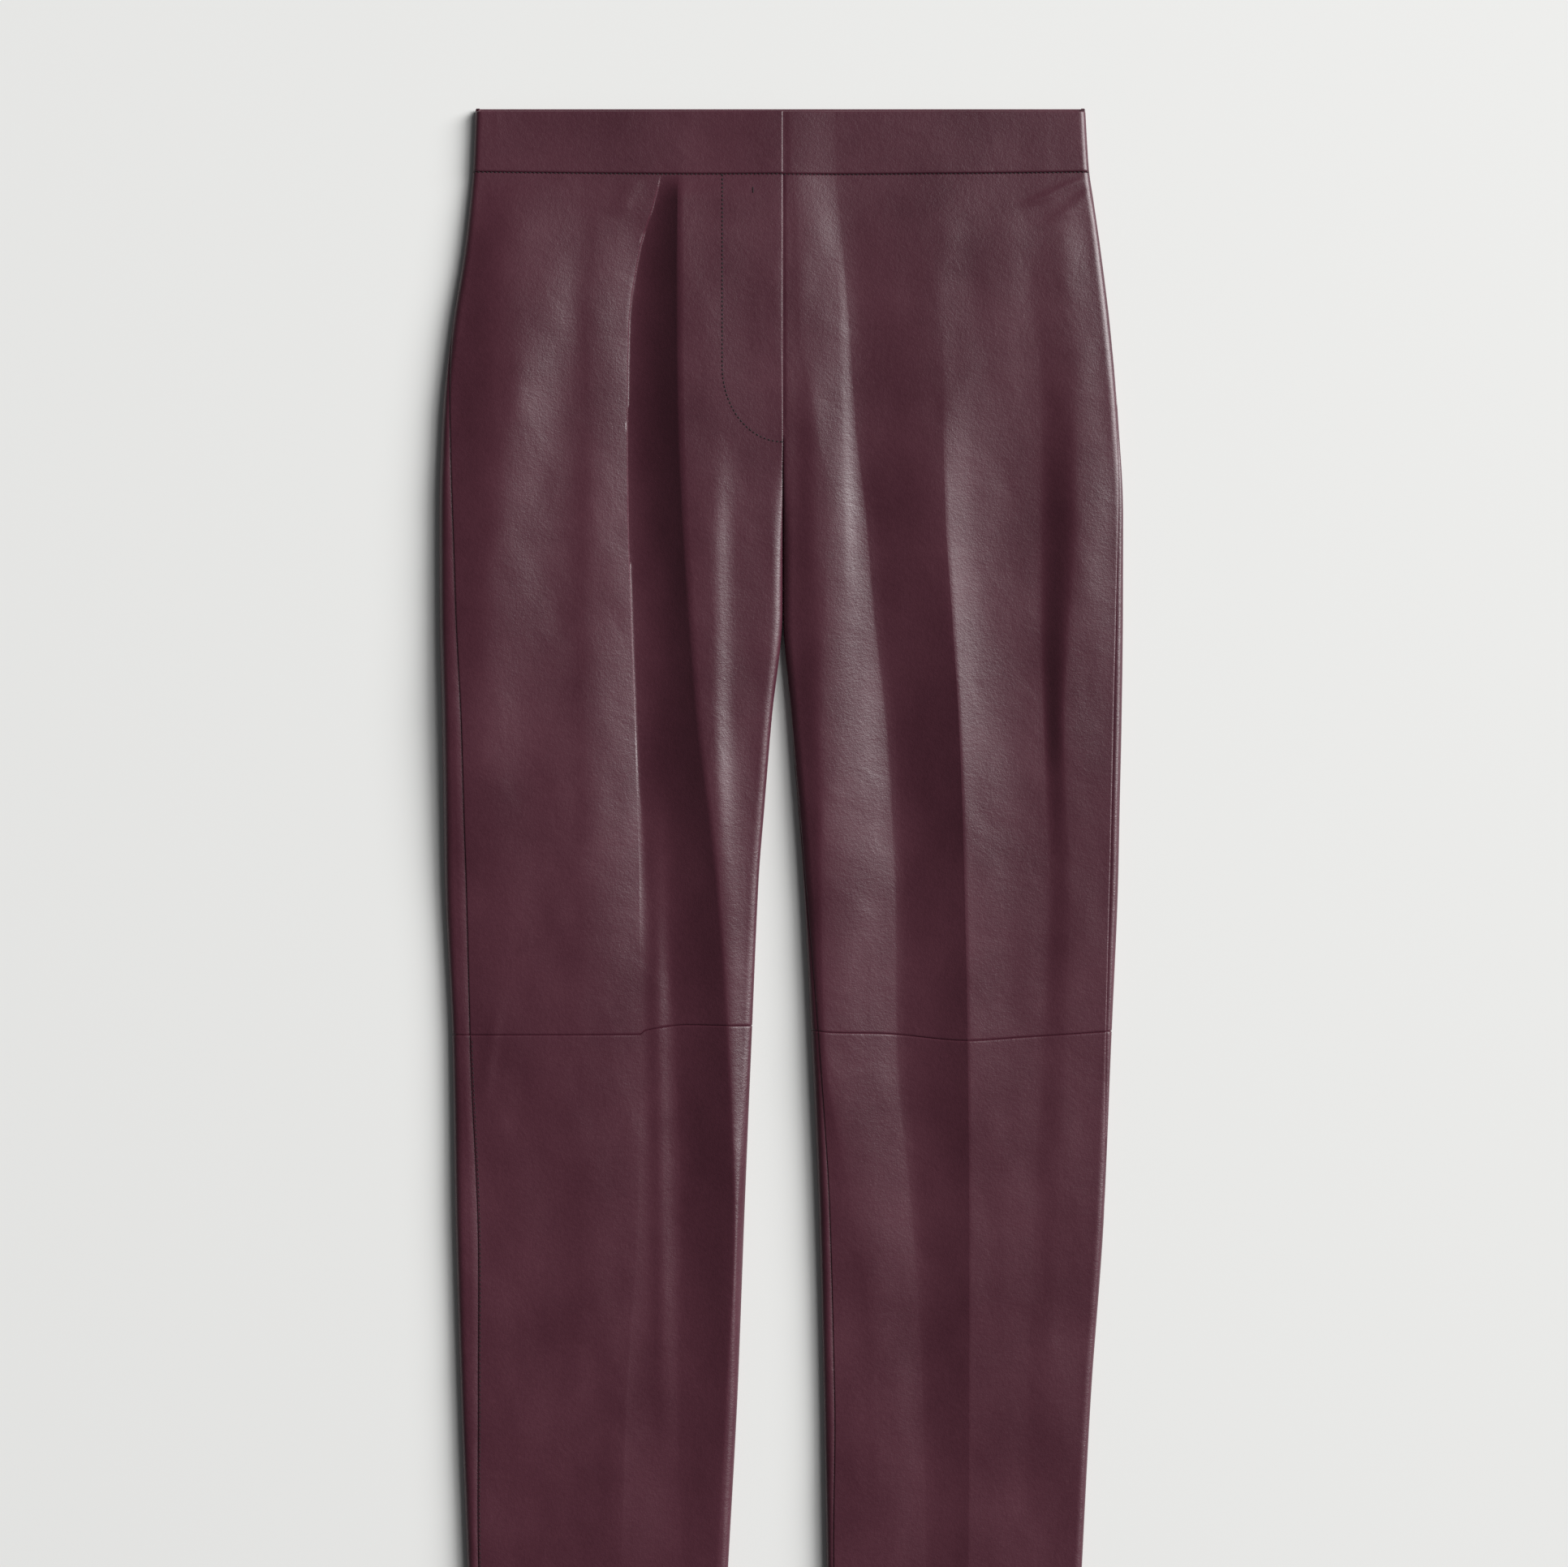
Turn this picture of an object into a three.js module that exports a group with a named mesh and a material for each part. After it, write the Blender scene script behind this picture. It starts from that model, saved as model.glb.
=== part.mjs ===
// A pair of high-waisted nappa leather trousers, laid flat on its back with the front facing up.
// X runs across the garment, +Y points to the waist, and Z is the height above the surface it lies on.
// Right and left are the wearer's, so the right leg lies on the -X side. All sizes are in millimetres.

import * as THREE from "three";

// Driving dimensions. A level is a distance down the garment, measured from the waist edge.
const LENGTH = 1040; // waist edge to hem
const LEATHER = 1.5; // wall of a panel: leather with its lining
const BAND_DEPTH = 39.4; // waist edge to the waist seam at the sides
const WAIST_BOW = 2; // the waist seam hangs lower by this much at the centre front
const BAND_WALL = 2; // folded leather with a stiffener
const BAND_PROUD = 0.5; // the front of the band stands out over the panels
const EDGE_STEP = 1; // the front edge of the waist lies lower, and the back edge higher, by this much
const SEAM_GAP = 0.3; // between pieces that are sewn together
const CROTCH = 318; // level of the fork of the legs
const FLY_END = 213; // level of the foot of the fly
const FLY_LAP = 8; // the left front runs on behind the right front by this much
const BAND_LAP = 40; // and so does the left end of the waistband
const LAP_DEPTH = 1.8; // a lapped layer lies this far below the one over it
const ZIP_WALL = 1;
const ZIP_REACH = 15; // from the centre line to the zip's edge, under the right front
const ZIP_END = 201;
const SHIELD_WALL = 1.2;
const SHIELD_REACH = 28;
const SHIELD_END = 207;
const FLY_ROOT = 9; // zip and shield reach this far under the left front
const HEM_TURN = 30; // depth of the turned-up hem
const HEM_WALL = 2.6; // leather with its turned-up layer
const ROLL = 1.2; // a rounded edge is wider than half its thickness by this factor, seen from above
const WRAP_SPAN = 16; // the seams show on top at most this far inside the outline
const BACK_RISE = 55; // the back's centre seam rises from the floor over this length above the fork

// One row for each cross-section of a leg. The columns up to "hip" are distances from the centre line,
// but sideWrap and inWrap say how far inside the outline the side seam and the inseam show on top.
// The columns with a z are heights of the top, at the lines that the others place.
const COLUMNS = [
  "level", "outer", "inner", "sideWrap", "inWrap", "swell", "trough", "crease", "lee", "hip",
  "zInner", "zSwell", "zTrough", "zCrease", "zLee", "zHip", "zOuter",
];
const RIGHT_LEG = table(COLUMNS, [
  [0, 196.7, 0.15, 0, 0, 62, 75, 78, 112, 160, 7.8, 6.4, 5.8, 6, 6.4, 6.2, 6.8],
  [40, 198.4, 0.15, 0, 0, 66, 75.5, 78.5, 114, 163, 8.6, 6.8, 6.2, 6.6, 7.2, 6.9, 7],
  [58, 200, 0.15, 0, 0, 67, 79.5, 82.5, 118, 170, 11.2, 10.6, 5.2, 6.4, 8, 9.4, 7.6],
  [90, 203.7, 0.15, 0, 0, 67, 89, 92, 122, 176, 12.4, 12.8, 4.2, 5.6, 8.2, 11.4, 8.2],
  [140, 211.7, 0.15, 0.6, 0, 66.8, 96, 99, 126, 180, 12.8, 13.8, 3.6, 5.4, 8.4, 12.2, 9],
  [200, 218, 0.15, 5.5, 0, 66, 97, 99.9, 126, 184, 12.8, 14, 3.6, 5.4, 8.4, 12.2, 9.2],
  [260, 219.8, 0.15, 9, 0, 63.5, 96.4, 99.4, 127, 184, 12, 13.8, 3.6, 5.4, 8.4, 11.8, 9.2],
  [320, 219.6, 0.15, 10.9, 0, 59.5, 94.4, 97.4, 128, 182, 11, 13.6, 3.6, 5.4, 8.6, 11.4, 9.2],
  [390, 218, 7, 12.8, 0, 54, 91.8, 94.8, 128, 178, 9.8, 13.4, 3.6, 5.2, 10, 11.2, 9],
  [450, 217, 12, 13.5, 0, 46.5, 89, 93, 128, 177, 9.2, 13, 4, 5.2, 10.6, 11, 9],
  [490, 216.3, 15.2, 14, 0, 42, 84, 91.8, 128, 175, 9, 12.8, 4.2, 5.4, 10.4, 10.6, 8.8],
  [594, 211.5, 19.8, 11.8, 0, 35, 70, 91.2, 128, 172, 8.6, 12, 5, 6.6, 9.8, 9.8, 8.8],
  [710, 209.4, 24.6, 14.6, 0, 31, 66, 92.6, 128, 168, 8.4, 11.4, 5.6, 7.4, 9, 9.2, 8.6],
  [820, 206, 28.8, 11.4, 0, 36, 68, 99.6, 130, 168, 8.4, 10, 6.4, 8.4, 8.8, 9, 8.6],
  [930, 201.8, 34.8, 7.4, 0, 42, 66, 103, 132, 166, 8.4, 9, 7, 8.6, 8.8, 8.8, 8.6],
  [1040, 197, 41, 6, 0, 50, 72, 107, 134, 164, 8.4, 8, 7, 8.6, 8.4, 8.4, 8.6],
]);
const LEFT_LEG = table(COLUMNS, [
  [0, 193.6, 0.15, 0, 0, 8, 34, 102, 146, 170, 6, 6, 6, 6.6, 6.2, 6.4, 6.8],
  [40, 196, 0.15, 0, 0, 8, 35, 103, 148, 172, 6.8, 6.8, 5.8, 7.2, 6.5, 6.9, 7],
  [58, 198.6, 0.15, 0, 0, 8, 36, 103, 150, 174, 9.4, 9.4, 6.8, 8, 7.4, 7.8, 7.6],
  [90, 203.2, 0.15, 0, 0, 9, 39, 103, 154, 178, 10.6, 10.6, 7.4, 9.8, 9, 9.4, 8.2],
  [140, 209.4, 0.15, 0, 0, 10, 43, 103, 160, 184, 11, 10.8, 7.6, 10.6, 9.2, 10.2, 9],
  [200, 214.6, 0.15, 0.6, 0, 20, 47, 102.6, 164, 188, 11, 10.6, 7.4, 11.8, 7.8, 10.8, 9.2],
  [260, 217.7, 0.15, 3, 0, 28, 54, 104, 164, 188, 10.2, 10.6, 6.4, 12.8, 6.8, 11.4, 9.2],
  [320, 217.6, 0.15, 4.6, 0, 26, 59, 108, 164, 184, 9.2, 11.6, 5.4, 13.4, 6.4, 11.6, 9.2],
  [390, 216.7, 5.2, 5.4, 0, 24, 67, 112.4, 166, 180, 9.6, 12.6, 4.4, 13.4, 6.8, 11.2, 9],
  [450, 215.4, 9.9, 5.5, 0.8, 25.5, 71, 114.8, 168, 182, 10, 12.8, 4.2, 13, 7.8, 10, 9],
  [490, 214.6, 12.8, 5.6, 1.5, 25, 73, 115.9, 170, 184, 10.2, 12.6, 4.4, 12.8, 8.2, 9.4, 8.8],
  [594, 210.2, 18.2, 3.6, 5, 34, 74, 118, 166, 182, 9.4, 10.6, 5, 12, 8.2, 9.2, 8.8],
  [710, 205.2, 23.2, 0, 7.2, 46, 84, 119, 160, 176, 9.2, 9.8, 6.2, 10.4, 8.4, 9, 8.6],
  [820, 197.2, 26, 0, 7.2, 58, 90, 119, 156, 172, 8.8, 8.8, 6.8, 9.6, 8.4, 8.8, 8.6],
  [930, 191.4, 28, 0, 4.6, 60, 92, 118.6, 152, 168, 8.6, 8.4, 7, 9.2, 8.4, 8.6, 8.6],
  [1040, 186, 31, 0, 4, 62, 92, 117, 148, 162, 8.4, 8, 6.8, 8.6, 8.2, 8.4, 8.6],
]);
// How a fold bends. The brow runs from swell to trough, the lip from trough to crease, and the crest from
// crease to lee. Each has a power for its start and one for its end: 1 is a corner, above 1 is soft.
const BENDS = ["level", "browStart", "browEnd", "lipStart", "lipEnd", "crestStart", "crestEnd"];
const RIGHT_BENDS = table(BENDS, [
  [0, 1, 1.7, 1.3, 1, 1, 1.6],
  [440, 1, 1.7, 1.3, 1, 1, 1.6],
  [500, 1, 1.7, 3, 1, 1, 1.6],
  [560, 1.1, 1.5, 2, 1, 1, 1.5],
  [1040, 1.2, 1.4, 1.6, 1, 1, 1.3],
]);
const LEFT_BENDS = table(BENDS, [
  [0, 1.6, 1, 0.9, 1.8, 1.4, 1.4],
  [150, 1.6, 1, 0.9, 1.8, 1.2, 1.6],
  [250, 1.7, 1, 1, 1.5, 1, 2.4],
  [400, 1.6, 1, 1.2, 1, 1, 2.4],
  [520, 1.5, 1, 1.3, 1, 1, 1.3],
  [1040, 1.4, 1.1, 1.4, 1.1, 1, 1.3],
]);
// The level of the knee seam, at distances from the centre line.
const RIGHT_KNEE = { across: [0, 60, 88, 92, 220], level: [586, 585.3, 588.8, 591.4, 591.6] };
const LEFT_KNEE = { across: [0, 34, 60, 117, 150, 220], level: [586, 590, 590.6, 595, 593.2, 588.5] };
const LEGS = {
  right: { side: -1, sections: RIGHT_LEG, bends: RIGHT_BENDS, knee: RIGHT_KNEE },
  left: { side: 1, sections: LEFT_LEG, bends: LEFT_BENDS, knee: LEFT_KNEE },
};

// Levels of the rows of points in a panel, between its two seams.
const UPPER_ROWS = [60, 90, 120, 150, 180, 199, 213, 238, 264, 291, 318, 346, 385, 430, 480, 535];
const LOWER_ROWS = [640, 700, 760, 820, 880, 940, LENGTH - HEM_TURN - 1, LENGTH - HEM_TURN + 1];
const BAND_ROWS = 3;

function table(columns, rows) {
  return Object.fromEntries(columns.map((name, i) => [name, rows.map((row) => row[i])]));
}

// Smooth interpolation through a column of the table, without overshoot.
function along(levels, column, level) {
  const n = levels.length;
  const step = (i) => (column[i + 1] - column[i]) / (levels[i + 1] - levels[i]);
  const slope = (i) => {
    if (i === 0) return step(0);
    if (i === n - 1) return step(n - 2);
    const [a, b] = [step(i - 1), step(i)];
    return a * b <= 0 ? 0 : (2 * a * b) / (a + b);
  };
  let i = 0;
  while (i < n - 2 && level > levels[i + 1]) i++;
  const width = levels[i + 1] - levels[i];
  const t = THREE.MathUtils.clamp((level - levels[i]) / width, 0, 1);
  const [t2, t3] = [t * t, t * t * t];
  return (
    (2 * t3 - 3 * t2 + 1) * column[i] + (t3 - 2 * t2 + t) * width * slope(i) +
    (3 * t2 - 2 * t3) * column[i + 1] + (t3 - t2) * width * slope(i + 1)
  );
}

function sectionAt(leg, level) {
  const at = {};
  for (const columns of [leg.sections, leg.bends]) {
    for (const name of Object.keys(columns)) at[name] = along(columns.level, columns[name], level);
  }
  return at;
}

const smooth = (t) => t * t * (3 - 2 * t);
const ramp = (value, from, to) => smooth(THREE.MathUtils.clamp((value - from) / (to - from), 0, 1));
const bend = (start, end) => (t) => 1 - (1 - t ** start) ** end;

// Height of the top at x from the centre line, before its edges are rounded.
function crown(at, x) {
  const lines = [
    [at.inner, at.zInner, smooth],
    [at.swell, at.zSwell, bend(at.browStart, at.browEnd)],
    [at.trough, at.zTrough, bend(at.lipStart, at.lipEnd)],
    [at.crease, at.zCrease, bend(at.crestStart, at.crestEnd)],
    [at.lee, at.zLee, smooth],
    [at.hip, at.zHip, smooth],
    [at.outer, at.zOuter, smooth],
  ];
  let i = 0;
  while (i < lines.length - 2 && x > lines[i + 1][0]) i++;
  const [[x0, z0, ease], [x1, z1]] = [lines[i], lines[i + 1]];
  return z0 + (z1 - z0) * ease(THREE.MathUtils.clamp((x - x0) / (x1 - x0), 0, 1));
}

// Share of the full height at a distance inside a rounded outline.
function rounding(inside, width) {
  const c = THREE.MathUtils.clamp(1 - inside / width, 0, 1);
  return Math.sqrt(1 - c * c);
}

// Down to the foot of the fly the fronts meet at full height. Then their edges fall, and the back's
// edges rise, until each leg closes to a rounded edge at the fork.
function topHeight(at, x, proud = 0) {
  const height = crown(at, x) + proud;
  const [outerHalf, innerHalf] = [at.zOuter / 2, at.zInner / 2];
  const atOuter = (height - outerHalf) * (1 - rounding(at.outer - x, ROLL * outerHalf));
  const innerEdge = THREE.MathUtils.lerp(at.zInner, innerHalf, ramp(at.level, FLY_END, CROTCH));
  const atInner = (height - proud - innerEdge) * (1 - rounding(x - at.inner, ROLL * innerHalf));
  return height - atOuter - atInner;
}

const steps = (n) => Array.from({ length: n + 1 }, (_, i) => i / n);

// The paths are lists of [x, z] points across a leg. They run round it in one direction: from the side
// seam over the front to the centre, and from there under the back to the side seam.
const ROLL_STEPS = 5;
const EDGE_STEPS = 6;
const FOLD_STEPS = { lee: 2, crease: 3, trough: 2, swell: 4 };
const FLAT_STEPS = 3;
const wrapAngle = (wrap) => Math.acos(1 - wrap / WRAP_SPAN);

function frontPath(leg, level, { proud = 0, lap = 0 } = {}) {
  const at = sectionAt(leg, level);
  const seam = at.outer - at.sideWrap;
  const end = at.inner + at.inWrap - lap;
  const eased = (u) => 1 - Math.cos((u * Math.PI) / 2); // closer together near a rounded edge
  const xs = steps(EDGE_STEPS).map((u) => seam + (at.hip - seam) * eased(u));
  let from = at.hip;
  for (const [line, n] of Object.entries(FOLD_STEPS)) {
    xs.push(...steps(n).slice(1).map((u) => from + (at[line] - from) * u));
    from = at[line];
  }
  xs.push(...steps(EDGE_STEPS).slice(1).map((u) => end + (from - end) * eased(1 - u)));
  const fade = (x) => (lap > 0 ? proud * ramp(x, 0, BAND_LAP) : proud);
  return xs.map((x) => [x, x < 0 ? lappedHeight(level, -x) : topHeight(at, x, fade(x))]);
}

// Height of a layer of the left side that runs on behind the right one.
const lappedHeight = (level, x) => topHeight(sectionAt(LEGS.right, level), x) - LAP_DEPTH;

// The underside of a rounded edge, and the strip of its top up to a seam that shows there.
function rollPoint(at, edge, inwards, angle, roll, height) {
  if (angle >= 0) {
    return [edge + inwards * roll * (1 - Math.cos(angle)), height * (1 - Math.sin(angle))];
  }
  const x = edge + inwards * WRAP_SPAN * (1 - Math.cos(angle));
  return [x, topHeight(at, x)];
}

function backPath(leg, level) {
  const at = sectionAt(leg, level);
  const [outerHalf, innerHalf] = [at.zOuter / 2, at.zInner / 2];
  const [outerRoll, innerRoll] = [ROLL * outerHalf, ROLL * innerHalf];
  const rise = innerHalf * ramp(level, CROTCH - BACK_RISE, CROTCH);
  const flat = Math.PI / 2;
  const fork = -wrapAngle(at.inWrap);
  const side = -wrapAngle(at.sideWrap);
  const [left, right] = [at.inner + innerRoll, at.outer - outerRoll];
  return [
    ...steps(ROLL_STEPS).map((u) =>
      rollPoint(at, at.inner, 1, fork + (flat - fork) * u, innerRoll, rise)),
    ...steps(FLAT_STEPS).slice(1, -1).map((u) => [left + (right - left) * u, 0]),
    ...steps(ROLL_STEPS).map((u) =>
      rollPoint(at, at.outer, -1, flat + (side - flat) * u, outerRoll, outerHalf)),
  ];
}

// The inner face of a wall whose outer face follows a path. The points before and after the path say
// which way its end faces lean: each is a point of the piece, or of the mirror image, that it meets.
function insetPath(path, wall, before, after) {
  const points = [...(before ? [before] : []), ...path, ...(after ? [after] : [])];
  const normals = points.slice(1).map(([x, z], i) => {
    const [dx, dz] = [x - points[i][0], z - points[i][1]];
    const size = Math.hypot(dx, dz);
    return [dz / size, -dx / size];
  });
  const shift = before ? 1 : 0;
  return path.map(([x, z], i) => {
    const a = normals[Math.max(i + shift - 1, 0)];
    const b = normals[Math.min(i + shift, normals.length - 1)];
    const share = 1 + a[0] * b[0] + a[1] * b[1];
    return [x - (wall * (a[0] + b[0])) / share, z - (wall * (a[1] + b[1])) / share];
  });
}

const between = (a, b, t) => a.map((value, i) => value + (b[i] - value) * t);

// A step of the given length from one point towards another.
function stepTowards([x0, z0], [x1, z1], length) {
  const share = length / Math.hypot(x1 - x0, z1 - z0);
  return [(x1 - x0) * share, (z1 - z0) * share];
}

// One row of a wall: the outer face and the inner face in one cross-section. Both faces are drawn back
// alike at their ends, to leave the gap of a seam.
function wallRow(path, wall, { before, after, startTrim = 0, endTrim = 0 }) {
  const atStart = stepTowards(path[0], path[1], startTrim);
  const atEnd = stepTowards(path.at(-1), path.at(-2), endTrim);
  const moved = ([x, z], [dx, dz]) => [x + dx, z + dz];
  const trimmed = (face) => [moved(face[0], atStart), ...face.slice(1, -1), moved(face.at(-1), atEnd)];
  return { outer: trimmed(path), inner: trimmed(insetPath(path, wall, before, after)) };
}

// The gap of the centre seams comes from the outlines, so only a leg's closed part is trimmed there.
const forkTrim = (level) => (SEAM_GAP / 2) * ramp(level, FLY_END, CROTCH);
const acrossCentre = ([x, z]) => [SEAM_GAP - x, z];

function frontRow(leg, level, wall, { proud = 0, lap = 0 } = {}) {
  const front = frontPath(leg, level, { proud, lap });
  const back = backPath(leg, level);
  const after = between(acrossCentre(front.at(-2)), back[1], ramp(level, FLY_END, CROTCH));
  return wallRow(front, wall, {
    before: back.at(-2),
    after: lap > 0 ? null : after,
    startTrim: SEAM_GAP / 2,
    endTrim: forkTrim(level),
  });
}

function backRow(leg, level, wall) {
  const front = frontPath(leg, level);
  const back = backPath(leg, level);
  const closed = ramp(level, CROTCH - BACK_RISE, CROTCH);
  return wallRow(back, wall, {
    before: between(acrossCentre(back[1]), front.at(-2), closed),
    after: front[1],
    startTrim: forkTrim(level),
    endTrim: SEAM_GAP / 2,
  });
}

function bandBackRow(level, wall, frontOf) {
  const mirrored = ([x, z]) => [-x, z];
  const [right, left] = [LEGS.right, LEGS.left].map((leg) => backPath(leg, level));
  const path = [...right.slice(1).reverse().map(mirrored), [0, 0], ...left.slice(1)];
  return wallRow(path, wall, {
    before: mirrored(frontPath(LEGS.right, level, frontOf.right)[1]),
    after: frontPath(LEGS.left, level, frontOf.left)[1],
    startTrim: SEAM_GAP / 2,
    endTrim: SEAM_GAP / 2,
  });
}

// Rows of [x, z] points at their levels, closed to one solid.
function wallGeometry(rows, side) {
  const [m, n] = [rows.length, rows[0].outer.length];
  const positions = rows.flatMap(({ outer, inner, levels }) =>
    [...outer, ...inner].flatMap(([x, z], k) => [side * x, LENGTH / 2 - levels[k % n], z]));
  const outer = (i, j) => i * 2 * n + j;
  const inner = (i, j) => i * 2 * n + n + j;
  const triangles = [];
  const quad = (a, b, c, d) => triangles.push(a, b, c, a, c, d);
  for (let i = 0; i < m - 1; i++) {
    for (let j = 0; j < n - 1; j++) {
      quad(outer(i, j), outer(i, j + 1), outer(i + 1, j + 1), outer(i + 1, j));
      quad(inner(i, j), inner(i + 1, j), inner(i + 1, j + 1), inner(i, j + 1));
    }
    quad(outer(i, 0), outer(i + 1, 0), inner(i + 1, 0), inner(i, 0));
    quad(outer(i, n - 1), inner(i, n - 1), inner(i + 1, n - 1), outer(i + 1, n - 1));
  }
  for (let j = 0; j < n - 1; j++) {
    quad(outer(0, j), inner(0, j), inner(0, j + 1), outer(0, j + 1));
    quad(outer(m - 1, j), outer(m - 1, j + 1), inner(m - 1, j + 1), inner(m - 1, j));
  }
  if (side < 0) triangles.reverse();
  const geometry = new THREE.BufferGeometry();
  geometry.setAttribute("position", new THREE.Float32BufferAttribute(positions, 3));
  geometry.setIndex(triangles);
  geometry.computeVertexNormals();
  return geometry;
}

const NAPPA = new THREE.MeshStandardMaterial({ color: 0x5a323c, roughness: 0.42, metalness: 0 });
const TAPE = new THREE.MeshStandardMaterial({ color: 0x3a2228, roughness: 0.8, metalness: 0 });

function piece(name, geometry, material = NAPPA) {
  const mesh = new THREE.Mesh(geometry, material);
  mesh.name = name;
  return mesh;
}

const widest = (leg) => Math.max(...leg.sections.outer);
const waistSeam = (x) => BAND_DEPTH + WAIST_BOW * (1 - (x / widest(LEGS.right)) ** 2);
const kneeSeam = (leg, x) => along(leg.knee.across, leg.knee.level, Math.abs(x));

// A wall between two seam lines. Its first and last rows follow them, so there each column of points
// is taken from the section at its own level.
function panel(side, rowAt, top, bottom, rows) {
  const seamRow = (line, offset) => {
    const levels = rowAt(line(0)).outer.map(([x]) => line(x) + offset);
    const own = levels.map((level) => rowAt(level));
    return { outer: own.map((row, j) => row.outer[j]), inner: own.map((row, j) => row.inner[j]), levels };
  };
  const fullRow = (level) => {
    const row = rowAt(level);
    return { ...row, levels: row.outer.map(() => level) };
  };
  const [first, last] = [seamRow(top, SEAM_GAP / 2), seamRow(bottom, -SEAM_GAP / 2)];
  return wallGeometry([first, ...rows.map(fullRow), last], side);
}

const flyLap = (level) => FLY_LAP * (1 - ramp(level, FLY_END - 14, FLY_END - 2));

function legPanels(word) {
  const leg = LEGS[word];
  const knee = (x) => kneeSeam(leg, x);
  const hem = () => LENGTH + SEAM_GAP / 2;
  const lapAt = (level) => (leg.side > 0 ? flyLap(level) : 0);
  const wallAt = (level) => (level > LENGTH - HEM_TURN ? HEM_WALL : LEATHER);
  const front = (level) => frontRow(leg, level, wallAt(level), { lap: lapAt(level) });
  const back = (level) => backRow(leg, level, wallAt(level));
  return [
    piece(`front_upper_${word}`, panel(leg.side, front, waistSeam, knee, UPPER_ROWS)),
    piece(`front_lower_${word}`, panel(leg.side, front, knee, hem, LOWER_ROWS)),
    piece(`back_upper_${word}`, panel(leg.side, back, waistSeam, knee, UPPER_ROWS)),
    piece(`back_lower_${word}`, panel(leg.side, back, knee, hem, LOWER_ROWS)),
  ];
}

function band(name, side, rowAt, edge) {
  const rows = steps(BAND_ROWS).slice(1, -1).map((u) => edge + (BAND_DEPTH - edge) * u);
  return piece(name, panel(side, rowAt, () => edge - SEAM_GAP / 2, waistSeam, rows));
}

function waistband() {
  const shapes = { right: { proud: BAND_PROUD }, left: { proud: BAND_PROUD, lap: BAND_LAP } };
  const front = (word) => (level) => frontRow(LEGS[word], level, BAND_WALL, shapes[word]);
  const back = (level) => bandBackRow(level, BAND_WALL, shapes);
  return [
    band("waistband_front_right", -1, front("right"), EDGE_STEP),
    band("waistband_front_left", 1, front("left"), EDGE_STEP),
    band("waistband_back", 1, back, -EDGE_STEP),
  ];
}

// Zip and shield are strips behind the fly, which follow the fronts at a depth below them.
const STRIP_STEPS = 6;
function flyStrip(name, reach, end, depth, wall, material) {
  const rowAt = (level) => {
    const at = sectionAt(LEGS.left, level);
    const path = steps(STRIP_STEPS).map((u) => {
      const x = FLY_ROOT - (FLY_ROOT + reach) * u;
      const under = x < 0 ? lappedHeight(level, -x) : topHeight(at, x);
      return [x, under - depth];
    });
    return wallRow(path, wall, {});
  };
  const rows = UPPER_ROWS.filter((level) => level < end);
  return piece(name, panel(1, rowAt, waistSeam, () => end, rows), material);
}

const ZIP_DEPTH = LEATHER + SEAM_GAP;
const SHIELD_DEPTH = ZIP_DEPTH + ZIP_WALL + SEAM_GAP;

const trousers = new THREE.Group();
trousers.add(
  ...waistband(),
  ...legPanels("right"),
  ...legPanels("left"),
  flyStrip("fly_zip", ZIP_REACH, ZIP_END, ZIP_DEPTH, ZIP_WALL, TAPE),
  flyStrip("fly_shield", SHIELD_REACH, SHIELD_END, SHIELD_DEPTH, SHIELD_WALL, NAPPA),
);
// Centred on the outline, which is a little wider on the right leg's side.
trousers.position.set((widest(LEGS.right) - widest(LEGS.left)) / 2, -EDGE_STEP / 2, 0);
export default trousers;
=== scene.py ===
# %% [markdown]
# # Leather trousers, laid flat
#
# This lesson models a pair of high-waisted leather trousers that lie on their back, front up.
# The garment is eleven panels of soft nappa leather, sewn together. A zip and a leather shield are
# hidden behind the fly.
# A cloth simulation could drop a flat pattern onto the floor. But the folds of pressed leather are
# known from looking, so here a table of cross-sections places each crease. Every panel is
# then a thin shell over that form, so seams, stitches and edges all read the same numbers.
#
# The frame has X across, +Y to the waist and Z up from the floor. Right and left are the wearer's.

# %% Load the frame
import math

import bpy
import numpy as np
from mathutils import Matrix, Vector


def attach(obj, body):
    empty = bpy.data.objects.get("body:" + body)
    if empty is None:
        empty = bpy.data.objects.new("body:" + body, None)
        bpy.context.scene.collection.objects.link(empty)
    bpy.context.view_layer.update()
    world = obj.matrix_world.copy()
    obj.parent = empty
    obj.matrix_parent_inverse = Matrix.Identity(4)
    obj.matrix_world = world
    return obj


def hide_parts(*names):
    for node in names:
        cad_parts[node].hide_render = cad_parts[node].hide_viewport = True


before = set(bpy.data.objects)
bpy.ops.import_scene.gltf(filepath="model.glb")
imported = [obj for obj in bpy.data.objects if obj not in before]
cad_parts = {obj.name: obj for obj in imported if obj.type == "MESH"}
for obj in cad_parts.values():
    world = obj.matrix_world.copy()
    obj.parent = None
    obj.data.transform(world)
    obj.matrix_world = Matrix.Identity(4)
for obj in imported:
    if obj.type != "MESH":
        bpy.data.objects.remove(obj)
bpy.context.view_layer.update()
MM = 0.001  # the tables below are in millimetres
print("nodes:", sorted(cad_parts))

# %% [markdown]
# ## The sizes
#
# A level is a distance down the garment from its waist edge. Real trousers of this kind have a
# waistband 40 mm deep, and a seam across each knee because a hide is too short for the whole leg.

# %% Driving sizes, in millimetres
LENGTH = 1040
BAND_DEPTH = 39.4
WAIST_BOW = 2
EDGE_STEP = 1
CROTCH = 318
FLY_END = 213
LAP_DEPTH = 1.8
ROLL = 1.2
WRAP_SPAN = 16
BACK_RISE = 55
LEATHER = 1.2
BAND_WALL = 2
BAND_PROUD = 0.7
HEM_TURN = 30

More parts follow.
